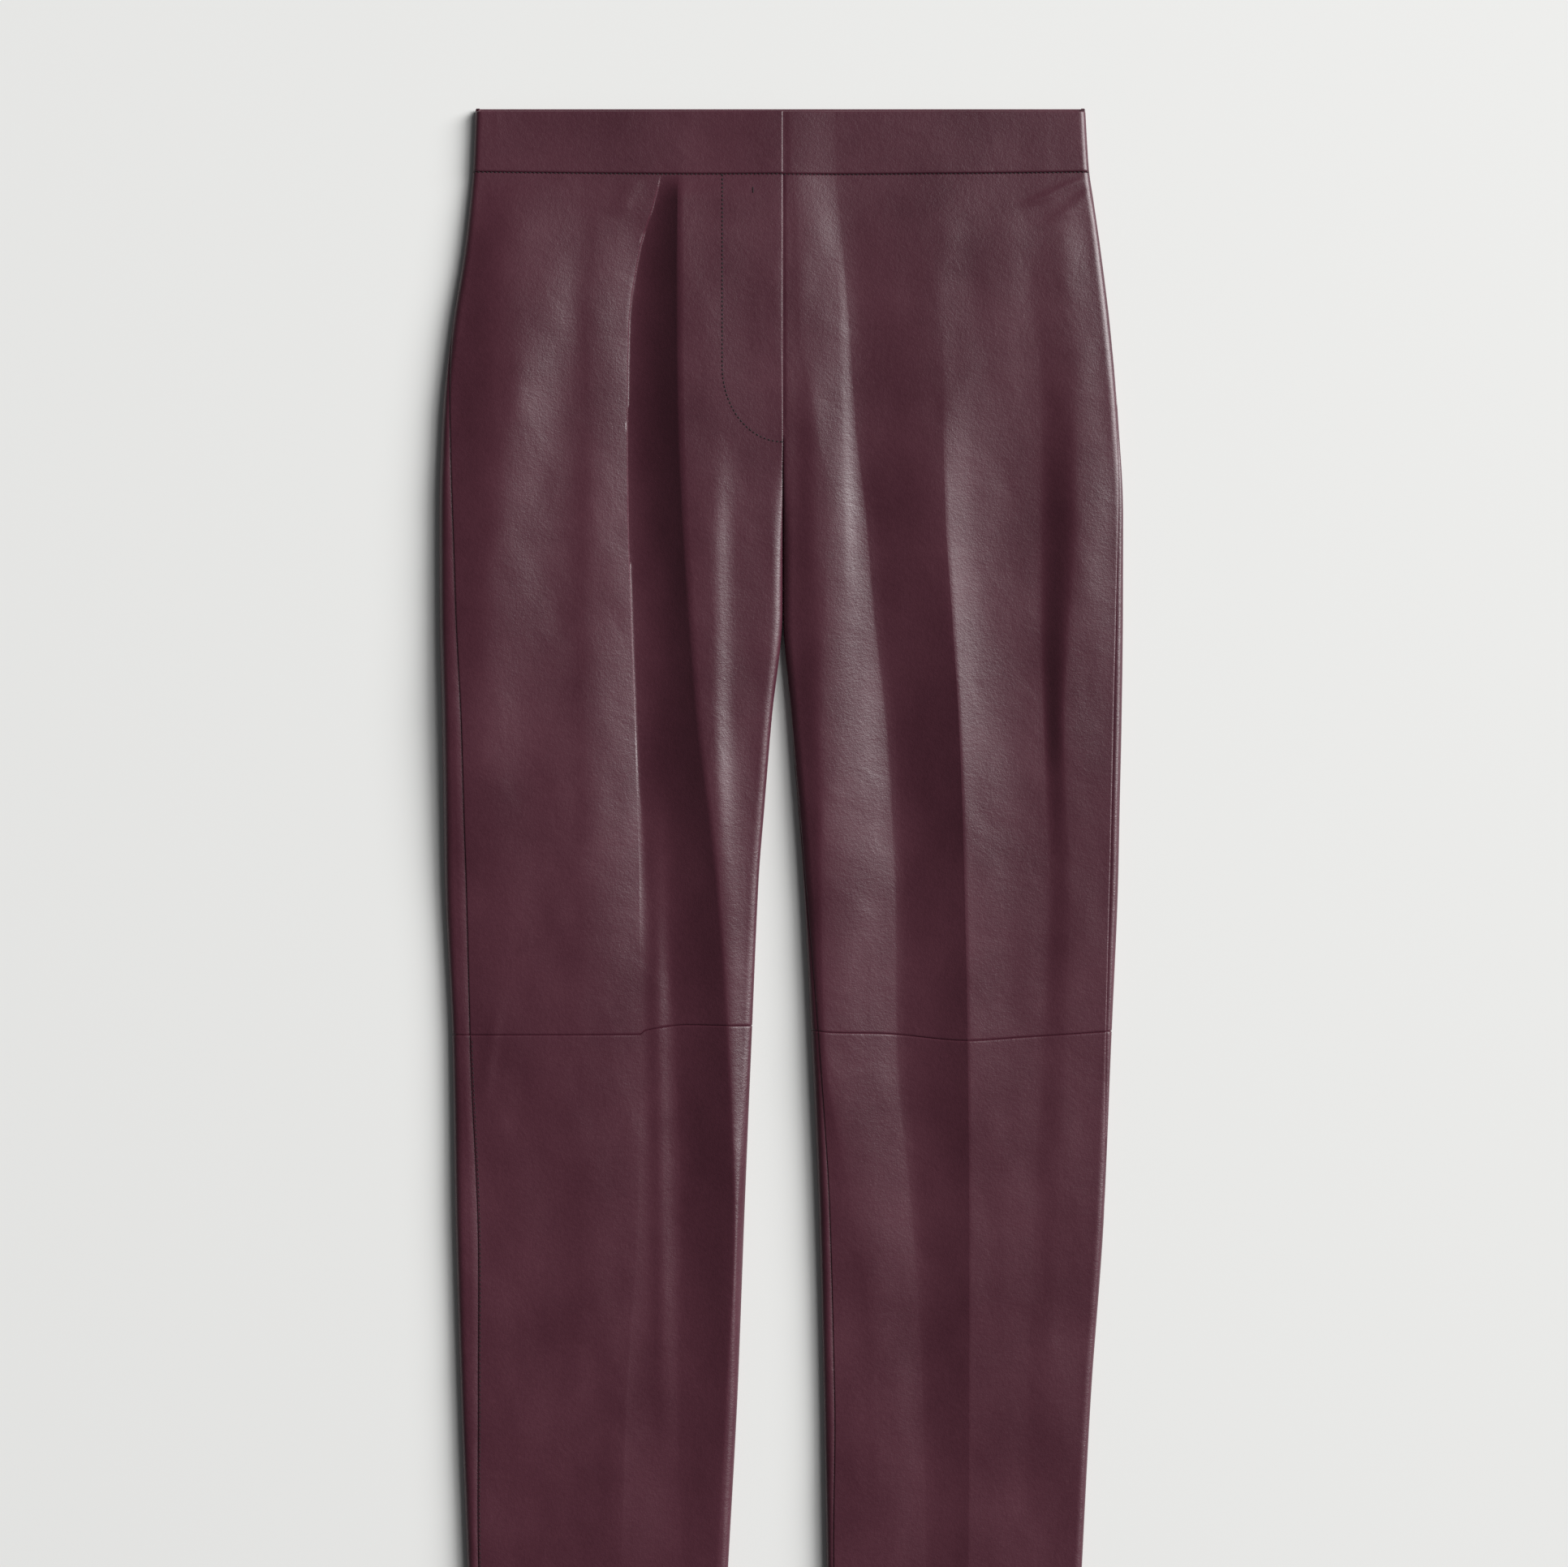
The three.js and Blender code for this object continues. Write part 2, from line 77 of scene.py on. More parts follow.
# %% [markdown]
# ## The cross-sections
#
# One row describes a leg at one level. The columns up to hip are distances from the centre line:
# the two outlines, how far inside them the side seam and the inseam show on top, and the folds.
# The z columns give the height of the leather at those lines. The crease is pressed in with an iron,
# and the trough beside it is where the leather slumps into the hollow leg.

# %% The table of sections
COLUMNS = (
    "level outer inner side_wrap in_wrap swell trough crease lee hip "
    "z_inner z_swell z_trough z_crease z_lee z_hip z_outer"
).split()


def table(rows):
    return {name: np.array([row[i] for row in rows], float) for i, name in enumerate(COLUMNS)}


RIGHT_LEG = table([
    [0, 196.7, 0.15, 0, 0, 62, 77, 78, 112, 160, 8.8, 6.7, 6.5, 6.5, 6.5, 6.4, 6.8],
    [40, 198.4, 0.15, 0, 0, 66, 77.5, 78.5, 114, 163, 9.8, 7.4, 7.1, 7.1, 7.2, 7.2, 7],
    [58, 200, 0.15, 0, 0, 67, 81.7, 82.5, 118, 170, 11.2, 10.6, 5.2, 6.4, 8, 9.4, 7.6],
    [90, 203.7, 0.15, 0, 0, 67, 91.2, 92, 122, 176, 12.4, 12.8, 4.2, 5.6, 8.2, 11.4, 8.2],
    [140, 211.7, 0.15, 0.6, 0, 66.8, 98.2, 99, 126, 180, 12.8, 13.8, 3.6, 5.4, 8.4, 12.2, 9],
    [200, 218, 0.15, 5.5, 0, 66, 99.1, 99.9, 126, 184, 12.8, 14, 3.6, 5.4, 8.4, 12.2, 9.2],
    [260, 219.8, 0.15, 9, 0, 63.5, 98.6, 99.4, 127, 184, 12, 13.8, 3.6, 5.4, 8.4, 11.8, 9.2],
    [320, 219.6, 0.15, 10.9, 0, 59.5, 96.6, 97.4, 128, 182, 11, 13.6, 4.2, 5, 8.6, 11.4, 9.2],
    [390, 218, 7, 12.8, 0, 54, 94, 94.8, 128, 178, 9.8, 13.4, 4.3, 4.9, 10, 11.2, 9],
    [450, 217, 12, 13.5, 0, 46.5, 90, 93, 128, 177, 9.2, 13, 4.3, 5, 10.6, 11, 9],
    [490, 216.3, 15.2, 14, 0, 42, 84, 91.8, 128, 175, 9, 12.8, 4.2, 5.4, 10.4, 10.6, 8.8],
    [594, 211.5, 19.8, 11.8, 0, 35, 70, 91.2, 128, 172, 8.6, 12, 5, 6.6, 9.8, 9.8, 8.8],
    [710, 209.4, 24.6, 14.6, 0, 31, 66, 92.6, 128, 168, 8.4, 11.4, 5.6, 7.4, 9, 9.2, 8.6],
    [820, 206, 28.8, 11.4, 0, 36, 68, 99.6, 130, 168, 8.4, 10, 6.4, 8.4, 8.8, 9, 8.6],
    [930, 201.8, 34.8, 7.4, 0, 42, 66, 103, 132, 166, 8.4, 9, 7, 8.6, 8.8, 8.8, 8.6],
    [1040, 197, 41, 6, 0, 50, 72, 107, 134, 164, 8.4, 8.6, 7.4, 8.6, 8.4, 8.4, 8.6],
])
LEFT_LEG = table([
    [0, 193.6, 0.15, 0, 0, 5, 34, 102, 146, 170, 7, 7, 5.6, 6.4, 6.2, 6.4, 6.8],
    [40, 196, 0.15, 0, 0, 6, 35, 103, 148, 172, 8, 8, 6, 7, 6.6, 6.9, 7],
    [58, 198.6, 0.15, 0, 0, 8, 36, 103, 150, 174, 9.4, 9.4, 6.8, 8, 7.4, 7.8, 7.6],
    [90, 203.2, 0.15, 0, 0, 9, 39, 103, 154, 178, 10.6, 10.6, 7.4, 9.8, 9, 9.4, 8.2],
    [140, 209.4, 0.15, 0, 0, 10, 43, 103, 160, 184, 11, 10.8, 7.6, 10.6, 9.2, 10.2, 9],
    [200, 214.6, 0.15, 0.6, 0, 20, 47, 102.6, 164, 188, 11, 10.6, 7.4, 11.8, 7.8, 10.8, 9.2],
    [260, 217.7, 0.15, 3, 0, 28, 54, 104, 164, 188, 10.2, 10.6, 6.4, 12.8, 6.8, 11.4, 9.2],
    [320, 217.6, 0.15, 4.6, 0, 26, 59, 108, 164, 184, 9.2, 11.6, 5.4, 13.4, 6.4, 11.6, 9.2],
    [390, 216.7, 5.2, 5.4, 0, 24, 67, 112.4, 166, 180, 9.6, 12.6, 4.4, 13.4, 6.8, 11.2, 9],
    [450, 215.4, 9.9, 5.5, 0.8, 25.5, 71, 114.8, 168, 182, 10, 12.8, 4.2, 13, 7.8, 10, 9],
    [490, 214.6, 12.8, 5.6, 1.5, 25, 73, 115.9, 170, 184, 10.2, 12.6, 4.4, 12.8, 8.2, 9.4, 8.8],
    [594, 210.2, 18.2, 3.6, 5, 27, 74, 118, 166, 182, 10, 11.8, 5, 12, 8.2, 9.2, 8.8],
    [710, 205.2, 23.2, 0, 7.2, 46, 84, 119, 160, 176, 9.2, 9.8, 6.2, 10.4, 8.4, 9, 8.6],
    [820, 197.2, 26, 0, 7.2, 58, 90, 119, 156, 172, 8.8, 8.8, 6.8, 9.6, 8.4, 8.8, 8.6],
    [930, 191.4, 28, 0, 4.6, 60, 92, 118.6, 152, 168, 8.6, 8.4, 7, 9.2, 8.4, 8.6, 8.6],
    [1040, 186, 31, 0, 4, 62, 92, 117, 148, 162, 8.4, 8.2, 7, 8.6, 8.2, 8.4, 8.6],
])
RIGHT_KNEE = ([0, 60, 88, 92, 220], [586, 585.3, 588.8, 591.4, 591.6])
LEFT_KNEE = ([0, 34, 60, 117, 150, 220], [586, 590, 590.6, 595, 593.2, 588.5])
RIGHT = {"word": "right", "side": -1, "sections": RIGHT_LEG, "knee": RIGHT_KNEE}
LEFT = {"word": "left", "side": 1, "sections": LEFT_LEG, "knee": LEFT_KNEE}
CENTRE_SHIFT = (RIGHT_LEG["outer"].max() - LEFT_LEG["outer"].max()) / 2
print("half widths at the hip:", RIGHT_LEG["outer"].max(), LEFT_LEG["outer"].max())


# %% [markdown]
# Between the rows each column runs on as a smooth curve that never overshoots, because a bump
# between two rows would show as a ripple in glossy leather.


# %% Reading the table at any level
def along(levels, values, level):
    """Smooth interpolation without overshoot. level may be an array of any shape."""
    levels, values = np.asarray(levels, float), np.asarray(values, float)
    step = np.diff(values) / np.diff(levels)
    product = step[:-1] * step[1:]
    total = np.where(step[:-1] + step[1:] == 0, 1, step[:-1] + step[1:])
    inside = np.where(product > 0, 2 * product / total, 0)
    slope = np.concatenate([step[:1], inside, step[-1:]])
    i = np.clip(np.searchsorted(levels, level, side="left") - 1, 0, len(levels) - 2)
    width = levels[i + 1] - levels[i]
    t = np.clip((level - levels[i]) / width, 0, 1)
    return (
        (2 * t**3 - 3 * t**2 + 1) * values[i]
        + (t**3 - 2 * t**2 + t) * width * slope[i]
        + (3 * t**2 - 2 * t**3) * values[i + 1]
        + (t**3 - t**2) * width * slope[i + 1]
    )


def section(leg, level):
    sections = leg["sections"]
    at = {name: along(sections["level"], sections[name], level) for name in COLUMNS}
    at["level"] = np.asarray(level, float)
    return at


def smooth(t):
    return t * t * (3 - 2 * t)


def ramp(value, start, end):
    return smooth(np.clip((value - start) / (end - start), 0, 1))


print("right leg 200 mm down: half width", float(section(RIGHT, 200)["outer"]), "mm")

# %% [markdown]
# ## The top surface
#
# How a fold bends from one line to the next is a pair of powers, one for each end: at 1 the stretch
# ends in a corner, and above 1 it ends softly. The right leg's crease ends in a lip that drops into
# its trough, and the ground beyond rises to a firm brow. The left leg's crease falls away steeply
# past the knee, then softly.
# At both outlines the leather rolls over in a quarter of an ellipse, down to where the leg is widest.

# %% Height of the leather over the floor
LAP_DIP = 0.45  # how far the left side is pressed down by the edge that laps over it
LAP_DIP_WIDTH = 1.2
RIGHT["bends"] = {
    "level": [0, 440, 500, 560, 1040],
    "brow": [(1, 1.7), (1, 1.7), (1, 1.7), (1.1, 1.5), (1.2, 1.4)],
    "lip": [(1.3, 1), (1.3, 1), (3, 1), (2, 1), (1.6, 1)],
    "crest": [(1, 1.6), (1, 1.6), (1, 1.6), (1, 1.5), (1, 1.3)],
}
LEFT["bends"] = {
    "level": [0, 150, 250, 400, 520, 1040],
    "brow": [(1.6, 1.5), (1.6, 1.5), (1.7, 1.4), (1.6, 1.3), (1.5, 1.2), (1.4, 1.2)],
    "lip": [(1.4, 1.8), (1.4, 1.8), (1.4, 1.5), (1.4, 1), (1.4, 1), (1.4, 1.1)],
    "crest": [(1.4, 1.4), (1.2, 1.6), (1, 2.4), (1, 2.4), (1, 1.3), (1, 1.3)],
}


def bend(leg, name, level):
    """The ease of one stretch: its first power is the corner at its start, the second at its end."""
    bends = leg["bends"]
    start, end = [along(bends["level"], column, level) for column in zip(*bends[name])]
    return lambda t: 1 - (1 - t**start) ** end


def crown(leg, at, x):
    lines = [
        ("inner", smooth), ("swell", bend(leg, "brow", at["level"])),
        ("trough", bend(leg, "lip", at["level"])), ("crease", bend(leg, "crest", at["level"])),
        ("lee", smooth), ("hip", smooth), ("outer", None),
    ]
    height = at["z_inner"] + 0 * x
    for (name, ease), (after, _) in zip(lines, lines[1:]):
        t = np.clip((x - at[name]) / (at[after] - at[name]), 0, 1)
        here = at["z_" + name] + (at["z_" + after] - at["z_" + name]) * ease(t)
        height = np.where(x >= at[name], here, height)
    return height


def rounding(inside, width):
    c = np.clip(1 - inside / width, 0, 1)
    return np.sqrt(1 - c * c)


def top_height(leg, at, x, proud=0.0):
    height = crown(leg, at, x) + fine_folds(leg, at["level"], x) + slump(leg, at["level"], x) + proud
    outer_half, inner_half = at["z_outer"] / 2, at["z_inner"] / 2
    at_outer = (height - outer_half) * (1 - rounding(at["outer"] - x, ROLL * outer_half))
    closed = ramp(at["level"], FLY_END, CROTCH)
    inner_edge = at["z_inner"] + (inner_half - at["z_inner"]) * closed
    at_inner = (height - proud - inner_edge) * (1 - rounding(x - at["inner"], ROLL * inner_half))
    return height - at_outer - at_inner - (under_lap(at["level"], x) if leg is LEFT else 0.0)


def under_lap(level, x):
    return LAP_DIP * np.exp(-((x / LAP_DIP_WIDTH) ** 2)) * (1 - ramp(level, FLY_END, CROTCH))


print("swell and crease, 200 mm down:", crown(RIGHT, section(RIGHT, 200.0), np.array([66, 99.9])))

# %% [markdown]
# ## The smaller folds
#
# Leather remembers how it was handled. Besides the big folds in the table, there are soft bands
# where it pulls from the fly to the thigh, short wrinkles under the waistband's corner, and ripples
# at the knee where the seam is stiff. Each is a row: a line from one point to another with a bend
# between, the width of its two flanks, and its height. The back has none, because it is pressed flat
# on the floor.

# %% The table of smaller folds
FOLD_COLUMNS = "side from_level to_level from_x bend to_x in_width out_width height".split()
FOLDS = [
    [-1, 190, 520, 41, 4, 38, 7, 26, 2.4],
    [-1, 40, 560, 136, 24, 201, 26, 40, 3.2],
    [-1, 430, 900, 81, 0, 75, 5, 6, 1],
    [1, 150, 330, 16, 2, 18, 8, 8, 0.9],
    [1, 60, 330, 34, 0, 40, 16, 6, 0.9],
    [1, 41, 64, 199, 0, 152, 7, 7, 0.7],
    [1, 44, 76, 202, 4, 168, 7, 7, 0.6],
    [-1, 42, 70, 92, 0, 104, 5, 8, 0.5],
    [-1, 560, 640, 178, 2, 190, 4, 5, 0.4],
]
print(len(FOLDS), "smaller folds, up to", max(row[-1] for row in FOLDS), "mm high")


def fine_folds(leg, level, x):
    total = np.zeros(np.broadcast(level, x).shape)
    for row in FOLDS:
        fold = dict(zip(FOLD_COLUMNS, row))
        if fold["side"] != leg["side"]:
            continue
        u = (level - fold["from_level"]) / (fold["to_level"] - fold["from_level"])
        inside = np.clip(u, 0, 1)
        middle = fold["from_x"] + (fold["to_x"] - fold["from_x"]) * inside
        middle = middle + fold["bend"] * 4 * inside * (1 - inside)
        away = x - middle
        width = np.where(away < 0, fold["in_width"], fold["out_width"])
        ends = ramp(u, 0, 0.3) * ramp(1 - u, 0, 0.3)
        total = total + fold["height"] * ends * np.exp(-((away / width) ** 2))
    return total


# %% [markdown]
# No panel of leather is even. Where it was held and where it sagged it has shallow hollows, longer
# down the leg than across, and they are what breaks up its reflections. They come from a coarse
# grid of random heights with a fixed seed, joined smoothly.

# %% Shallow hollows
HOLLOWS = [(64, 24, 0.42), (27, 12, 0.16)]  # length, width and height
HOLLOW_SEED = 40


def slump(leg, level, x):
    total = np.zeros(np.broadcast(level, x).shape)
    for length, width, height in HOLLOWS:
        dots = np.random.default_rng(HOLLOW_SEED + leg["side"]).uniform(-1, 1, (60, 60))
        u, v = level / length + 2, x / width + 3
        i, j = np.floor(u).astype(int), np.floor(v).astype(int)
        p, q = smooth(u - i), smooth(v - j)
        above = dots[i, j] * (1 - q) + dots[i, j + 1] * q
        below = dots[i + 1, j] * (1 - q) + dots[i + 1, j + 1] * q
        total = total + height * (above * (1 - p) + below * p)
    return total * ramp(level, BAND_DEPTH, BAND_DEPTH + 40)


sampled = slump(RIGHT, np.linspace(90, 1000, 60)[:, None], np.linspace(20, 180, 40))
print("hollows from", round(float(sampled.min()), 2), "to", round(float(sampled.max()), 2), "mm")

# %% [markdown]
# ## Materials
#
# Nappa is full-grain lamb or calf skin, drum-dyed and lightly finished. Its surface is almost
# smooth: a soft gloss, fine pores under half a millimetre, and a faint cloudiness from the dye.
# An image could show all this, but noise in real millimetres has no joins and suits every panel.
# The pores are drawn a little coarser than real, so that they still show from this far.

# %% Colours and helpers for nodes
def linear(hex_colour):
    parts = [int(hex_colour[i : i + 2], 16) / 255 for i in (1, 3, 5)]
    lin = [c / 12.92 if c <= 0.04045 else ((c + 0.055) / 1.055) ** 2.4 for c in parts]
    return (*lin, 1.0)


def add_node(tree, kind, settings=None, **links):
    """Adds a node. Settings are its properties; links are its inputs, a value or another socket."""
    node = tree.nodes.new(kind)
    for name, value in (settings or {}).items():
        setattr(node, name, value)
    for name, value in links.items():
        socket = node.inputs[name.replace("_", " ")]
        if isinstance(value, bpy.types.NodeSocket):
            tree.links.new(value, socket)
        else:
            socket.default_value = value
    return node


def new_material(name):
    material = bpy.data.materials.new(name)
    material.use_nodes = True
    material.node_tree.nodes.clear()
    return material


def scale_of(size):
    """The Scale of a noise or Voronoi texture with one feature in this many millimetres."""
    return 1 / (size * MM)


def wave_scale(spacing):
    """The Scale of a Wave texture whose bands are this many millimetres apart along an axis."""
    return 2 * math.pi / 20 / (spacing * MM)


print("a feature of 1 mm is Scale", scale_of(1))

# %% The nappa
NAPPA_SIZES = {"cloud": 71.43, "handling": 27.78, "mottle": 2.381, "grain": 2.083, "pore": 0.9091}
FINISH_IOR = 1.5  # the thin acrylic finish on the grain


def make_nappa(name, light, dark, roughness):
    """Clouds of dye and a fine mottle set the tone; handling, pores and grain set the relief."""
    material = new_material(name)
    tree = material.node_tree
    place = add_node(tree, "ShaderNodeTexCoord").outputs["Object"]
    scale = {part: scale_of(size) for part, size in NAPPA_SIZES.items()}
    clouds = add_node(
        tree, "ShaderNodeTexNoise", Vector=place, Scale=scale["cloud"], Detail=3, Roughness=0.5
    )
    mottle = add_node(tree, "ShaderNodeTexNoise", Vector=place, Scale=scale["mottle"], Detail=2)
    tone = add_node(tree, "ShaderNodeMix", {"data_type": "FLOAT"}, Factor=0.25)
    tree.links.new(clouds.outputs["Fac"], tone.inputs[2])
    tree.links.new(mottle.outputs["Fac"], tone.inputs[3])
    ramp_node = add_node(tree, "ShaderNodeValToRGB", Fac=tone.outputs[0])
    ramp_node.color_ramp.elements[0].position = 0.3
    ramp_node.color_ramp.elements[0].color = linear(dark)
    ramp_node.color_ramp.elements[1].position = 0.7
    ramp_node.color_ramp.elements[1].color = linear(light)
    pores = add_node(tree, "ShaderNodeTexVoronoi", Vector=place, Scale=scale["pore"])
    grain = add_node(tree, "ShaderNodeTexNoise", Vector=place, Scale=scale["grain"], Detail=4)
    handling = add_node(
        tree, "ShaderNodeTexNoise", Vector=place, Scale=scale["handling"], Detail=5, Distortion=0.6
    )
    soft_bump = add_node(
        tree, "ShaderNodeBump", Height=handling.outputs["Fac"], Strength=0.28, Distance=0.0016
    )
    pore_bump = add_node(
        tree, "ShaderNodeBump", Height=pores.outputs["Distance"], Strength=0.24, Distance=0.0002,
        Normal=soft_bump.outputs["Normal"],
    )
    bump = add_node(
        tree, "ShaderNodeBump", Height=grain.outputs["Fac"], Strength=0.26, Distance=0.0004,
        Normal=pore_bump.outputs["Normal"],
    )
    worn = add_node(
        tree, "ShaderNodeMapRange", Value=tone.outputs[0], From_Min=0.3, From_Max=0.7,
        To_Min=roughness - 0.04, To_Max=roughness + 0.06,
    )
    shader = add_node(
        tree, "ShaderNodeBsdfPrincipled", Base_Color=ramp_node.outputs["Color"],
        Roughness=worn.outputs["Result"], IOR=FINISH_IOR, Normal=bump.outputs["Normal"],
    )
    add_node(tree, "ShaderNodeOutputMaterial", Surface=shader.outputs["BSDF"])
    return material


NAPPA = make_nappa("nappa_leather", "#4c2430", "#3e1b26", 0.36)
FLESH = make_nappa("nappa_flesh_side", "#6b4a50", "#5e3f45", 0.85)  # unfinished, so matt and paler

# %% [markdown]
# The zip is sewn to a woven polyester tape. Its ribs run along it and its threads across. The product
# of two waves gives both at once, where a modelled weave would need thousands of faces nobody sees.


# %% The zip's tape
RIB_SPACING = 0.785
WEFT_SPACING = 0.449


def make_tape():
    """Woven polyester is matt, with a faint sheen from its loose fibres."""
    material = new_material("zip_tape_polyester")
    tree = material.node_tree
    place = add_node(tree, "ShaderNodeTexCoord").outputs["Object"]
    ribs = add_node(
        tree, "ShaderNodeTexWave", {"bands_direction": "X"}, Vector=place,
        Scale=wave_scale(RIB_SPACING), Distortion=0,
    )
    threads = add_node(
        tree, "ShaderNodeTexWave", {"bands_direction": "Y"}, Vector=place,
        Scale=wave_scale(WEFT_SPACING), Distortion=0.4,
    )
    weave = add_node(tree, "ShaderNodeMath", {"operation": "MULTIPLY"})
    tree.links.new(ribs.outputs["Fac"], weave.inputs[0])
    tree.links.new(threads.outputs["Fac"], weave.inputs[1])
    colour = add_node(tree, "ShaderNodeValToRGB", Fac=weave.outputs[0])
    colour.color_ramp.elements[0].color = linear("#2a171c")
    colour.color_ramp.elements[1].color = linear("#40262d")
    bump = add_node(
        tree, "ShaderNodeBump", Height=weave.outputs[0], Strength=0.5, Distance=0.0002
    )
    shader = add_node(
        tree, "ShaderNodeBsdfPrincipled", Base_Color=colour.outputs["Color"], Roughness=0.8,
        Sheen_Weight=0.2, Normal=bump.outputs["Normal"],
    )
    add_node(tree, "ShaderNodeOutputMaterial", Surface=shader.outputs["BSDF"])
    return material


TAPE = make_tape()

# %% [markdown]
# The thread is spun polyester, two plies twisted together, which show as slanting ribs. Its colour is
# painted darker than the leather, as painted shade for the small shadows its stitches sit in. The ribs
# are drawn coarser than the real 0.3 mm. The zip's coil and slider are moulded from dyed polyester,
# which is smooth but dulled where it rubs.


# %% Thread, and the zip's hard parts
PLY_SPACING = 0.3491  # a diagonal wave's bands are twice this apart along each axis


def make_thread():
    """Matt, with a trace of sheen from its fibres."""
    material = new_material("polyester_thread_painted_shade")
    tree = material.node_tree
    place = add_node(tree, "ShaderNodeTexCoord").outputs["Object"]
    twist = add_node(
        tree, "ShaderNodeTexWave", {"bands_direction": "DIAGONAL"}, Vector=place,
        Scale=wave_scale(PLY_SPACING), Distortion=0,
    )
    # Painted shade: both thread colours are darkened for the small shadows the stitches sit in.
    colour = add_node(tree, "ShaderNodeValToRGB", Fac=twist.outputs["Fac"])
    colour.color_ramp.elements[0].color = linear("#12060a")
    colour.color_ramp.elements[1].color = linear("#200c13")
    bump = add_node(
        tree, "ShaderNodeBump", Height=twist.outputs["Fac"], Strength=0.4, Distance=0.0001
    )
    shader = add_node(
        tree, "ShaderNodeBsdfPrincipled", Base_Color=colour.outputs["Color"], Roughness=0.8,
        Sheen_Weight=0.05, Normal=bump.outputs["Normal"],
    )
    add_node(tree, "ShaderNodeOutputMaterial", Surface=shader.outputs["BSDF"])
    return material


RUB_SIZE = 1.667


def make_moulded():
    """A soft plastic gloss, uneven where the coil and slider have rubbed."""
    material = new_material("moulded_zip_polyester")
    tree = material.node_tree
    place = add_node(tree, "ShaderNodeTexCoord").outputs["Object"]
    rub = add_node(tree, "ShaderNodeTexNoise", Vector=place, Scale=scale_of(RUB_SIZE), Detail=3)
    roughness = add_node(tree, "ShaderNodeMapRange", Value=rub.outputs["Fac"], To_Min=0.3, To_Max=0.5)
    colour = add_node(tree, "ShaderNodeValToRGB", Fac=rub.outputs["Fac"])
    colour.color_ramp.elements[0].color = linear("#2e1820")
    colour.color_ramp.elements[1].color = linear("#3d222b")
    shader = add_node(
        tree, "ShaderNodeBsdfPrincipled", Base_Color=colour.outputs["Color"],
        Roughness=roughness.outputs["Result"],
    )
    add_node(tree, "ShaderNodeOutputMaterial", Surface=shader.outputs["BSDF"])
    return material


THREAD = make_thread()
ZIP_PLASTIC = make_moulded()
print("materials:", [m.name for m in (NAPPA, FLESH, TAPE, THREAD, ZIP_PLASTIC)])


# %% [markdown]
# ## Panels as shells
#
# A panel is a grid of points on the outer face, and the same grid moved inwards by the thickness of
# the leather. Blender's Solidify could add that wall, but the grid is already there, and this way
# the edges stay exact where two panels meet. At a seam the leather turns in, so the last
# millimetre of each edge rolls down. That makes the fine dark line that a real seam shows.

# %% Shell helpers
def to_world(side, x, level, z):
    y = LENGTH / 2 - level - EDGE_STEP / 2
    return np.stack([side * x + CENTRE_SHIFT, y, z + 0 * x], axis=-1) * MM


def unit(v):
    return v / np.maximum(np.linalg.norm(v, axis=-1, keepdims=True), 1e-12)


def grid_normals(points):
    return unit(np.cross(np.gradient(points, axis=1), np.gradient(points, axis=0)))


def roll_edges(points, edges, depth=0.7, width=0.9):
    """Sinks the outer face near the named edges of the grid, in a quarter round."""
    down = np.zeros(points.shape[:2])
    for edge in edges:
        axis = 0 if edge in ("top", "bottom") else 1
        steps = np.linalg.norm(np.diff(points, axis=axis), axis=-1) / MM
        zero = np.zeros_like(np.take(steps, [0], axis=axis))
        run = np.concatenate([zero, np.cumsum(steps, axis=axis)], axis=axis)
        if edge in ("bottom", "end"):
            run = np.take(run, [-1], axis=axis) - run
        down = np.maximum(down, depth * (1 - rounding(run, width)))
    return points - grid_normals(points) * (down * MM)[..., None]


def make_object(name, vertices, faces, materials, face_materials=None):
    mesh = bpy.data.meshes.new(name)
    mesh.from_pydata(vertices.tolist(), [], faces.tolist())
    for material in materials:
        mesh.materials.append(material)
    if face_materials is not None:
        mesh.polygons.foreach_set("material_index", face_materials)
    mesh.polygons.foreach_set("use_smooth", np.ones(len(faces), bool))
    mesh.set_sharp_from_angle(angle=math.radians(50))
    mesh.validate()
    piece = bpy.data.objects.new(name, mesh)
    bpy.context.scene.collection.objects.link(piece)
    return piece


def make_shell(name, outer, wall, materials=None):
    """Closes a grid of outer points and its offset to one shell, with its inner face last."""
    m, n = outer.shape[:2]
    inner = outer - grid_normals(outer) * np.reshape(np.asarray(wall, float) * MM, (-1, 1, 1))
    inner[..., 2] = np.maximum(inner[..., 2], 0)  # nothing reaches below the floor
    number = np.arange(2 * m * n).reshape(2, m, n)
    a, b = number

    def quads(p, q, r, s):
        return np.stack([p, q, r, s], axis=-1).reshape(-1, 4)

    sides = [
        quads(a[:-1, :-1], a[:-1, 1:], a[1:, 1:], a[1:, :-1]),
        quads(a[:-1, 0], a[1:, 0], b[1:, 0], b[:-1, 0]),
        quads(a[:-1, -1], b[:-1, -1], b[1:, -1], a[1:, -1]),
        quads(a[0, :-1], b[0, :-1], b[0, 1:], a[0, 1:]),
        quads(a[-1, :-1], a[-1, 1:], b[-1, 1:], b[-1, :-1]),
    ]
    back = quads(b[:-1, :-1], b[1:, :-1], b[1:, 1:], b[:-1, 1:])
    shown = sum(len(q) for q in sides)
    faces = np.concatenate([*sides, back])
    kinds = np.concatenate([np.zeros(shown, np.int32), np.ones(len(back), np.int32)])
    vertices = np.concatenate([outer.reshape(-1, 3), inner.reshape(-1, 3)])
    piece = make_object(name, vertices, faces, materials or [NAPPA, FLESH], kinds)
    print(f"{name}: {2 * len(faces)} triangles")
    return piece


# %% [markdown]
# ## Columns and rows of a panel
#
# Columns of points follow the folds down the leg, so a crease always runs along one column and
# stays crisp. Rows are about 3 mm apart, and closer near the seams for their rolled edges.

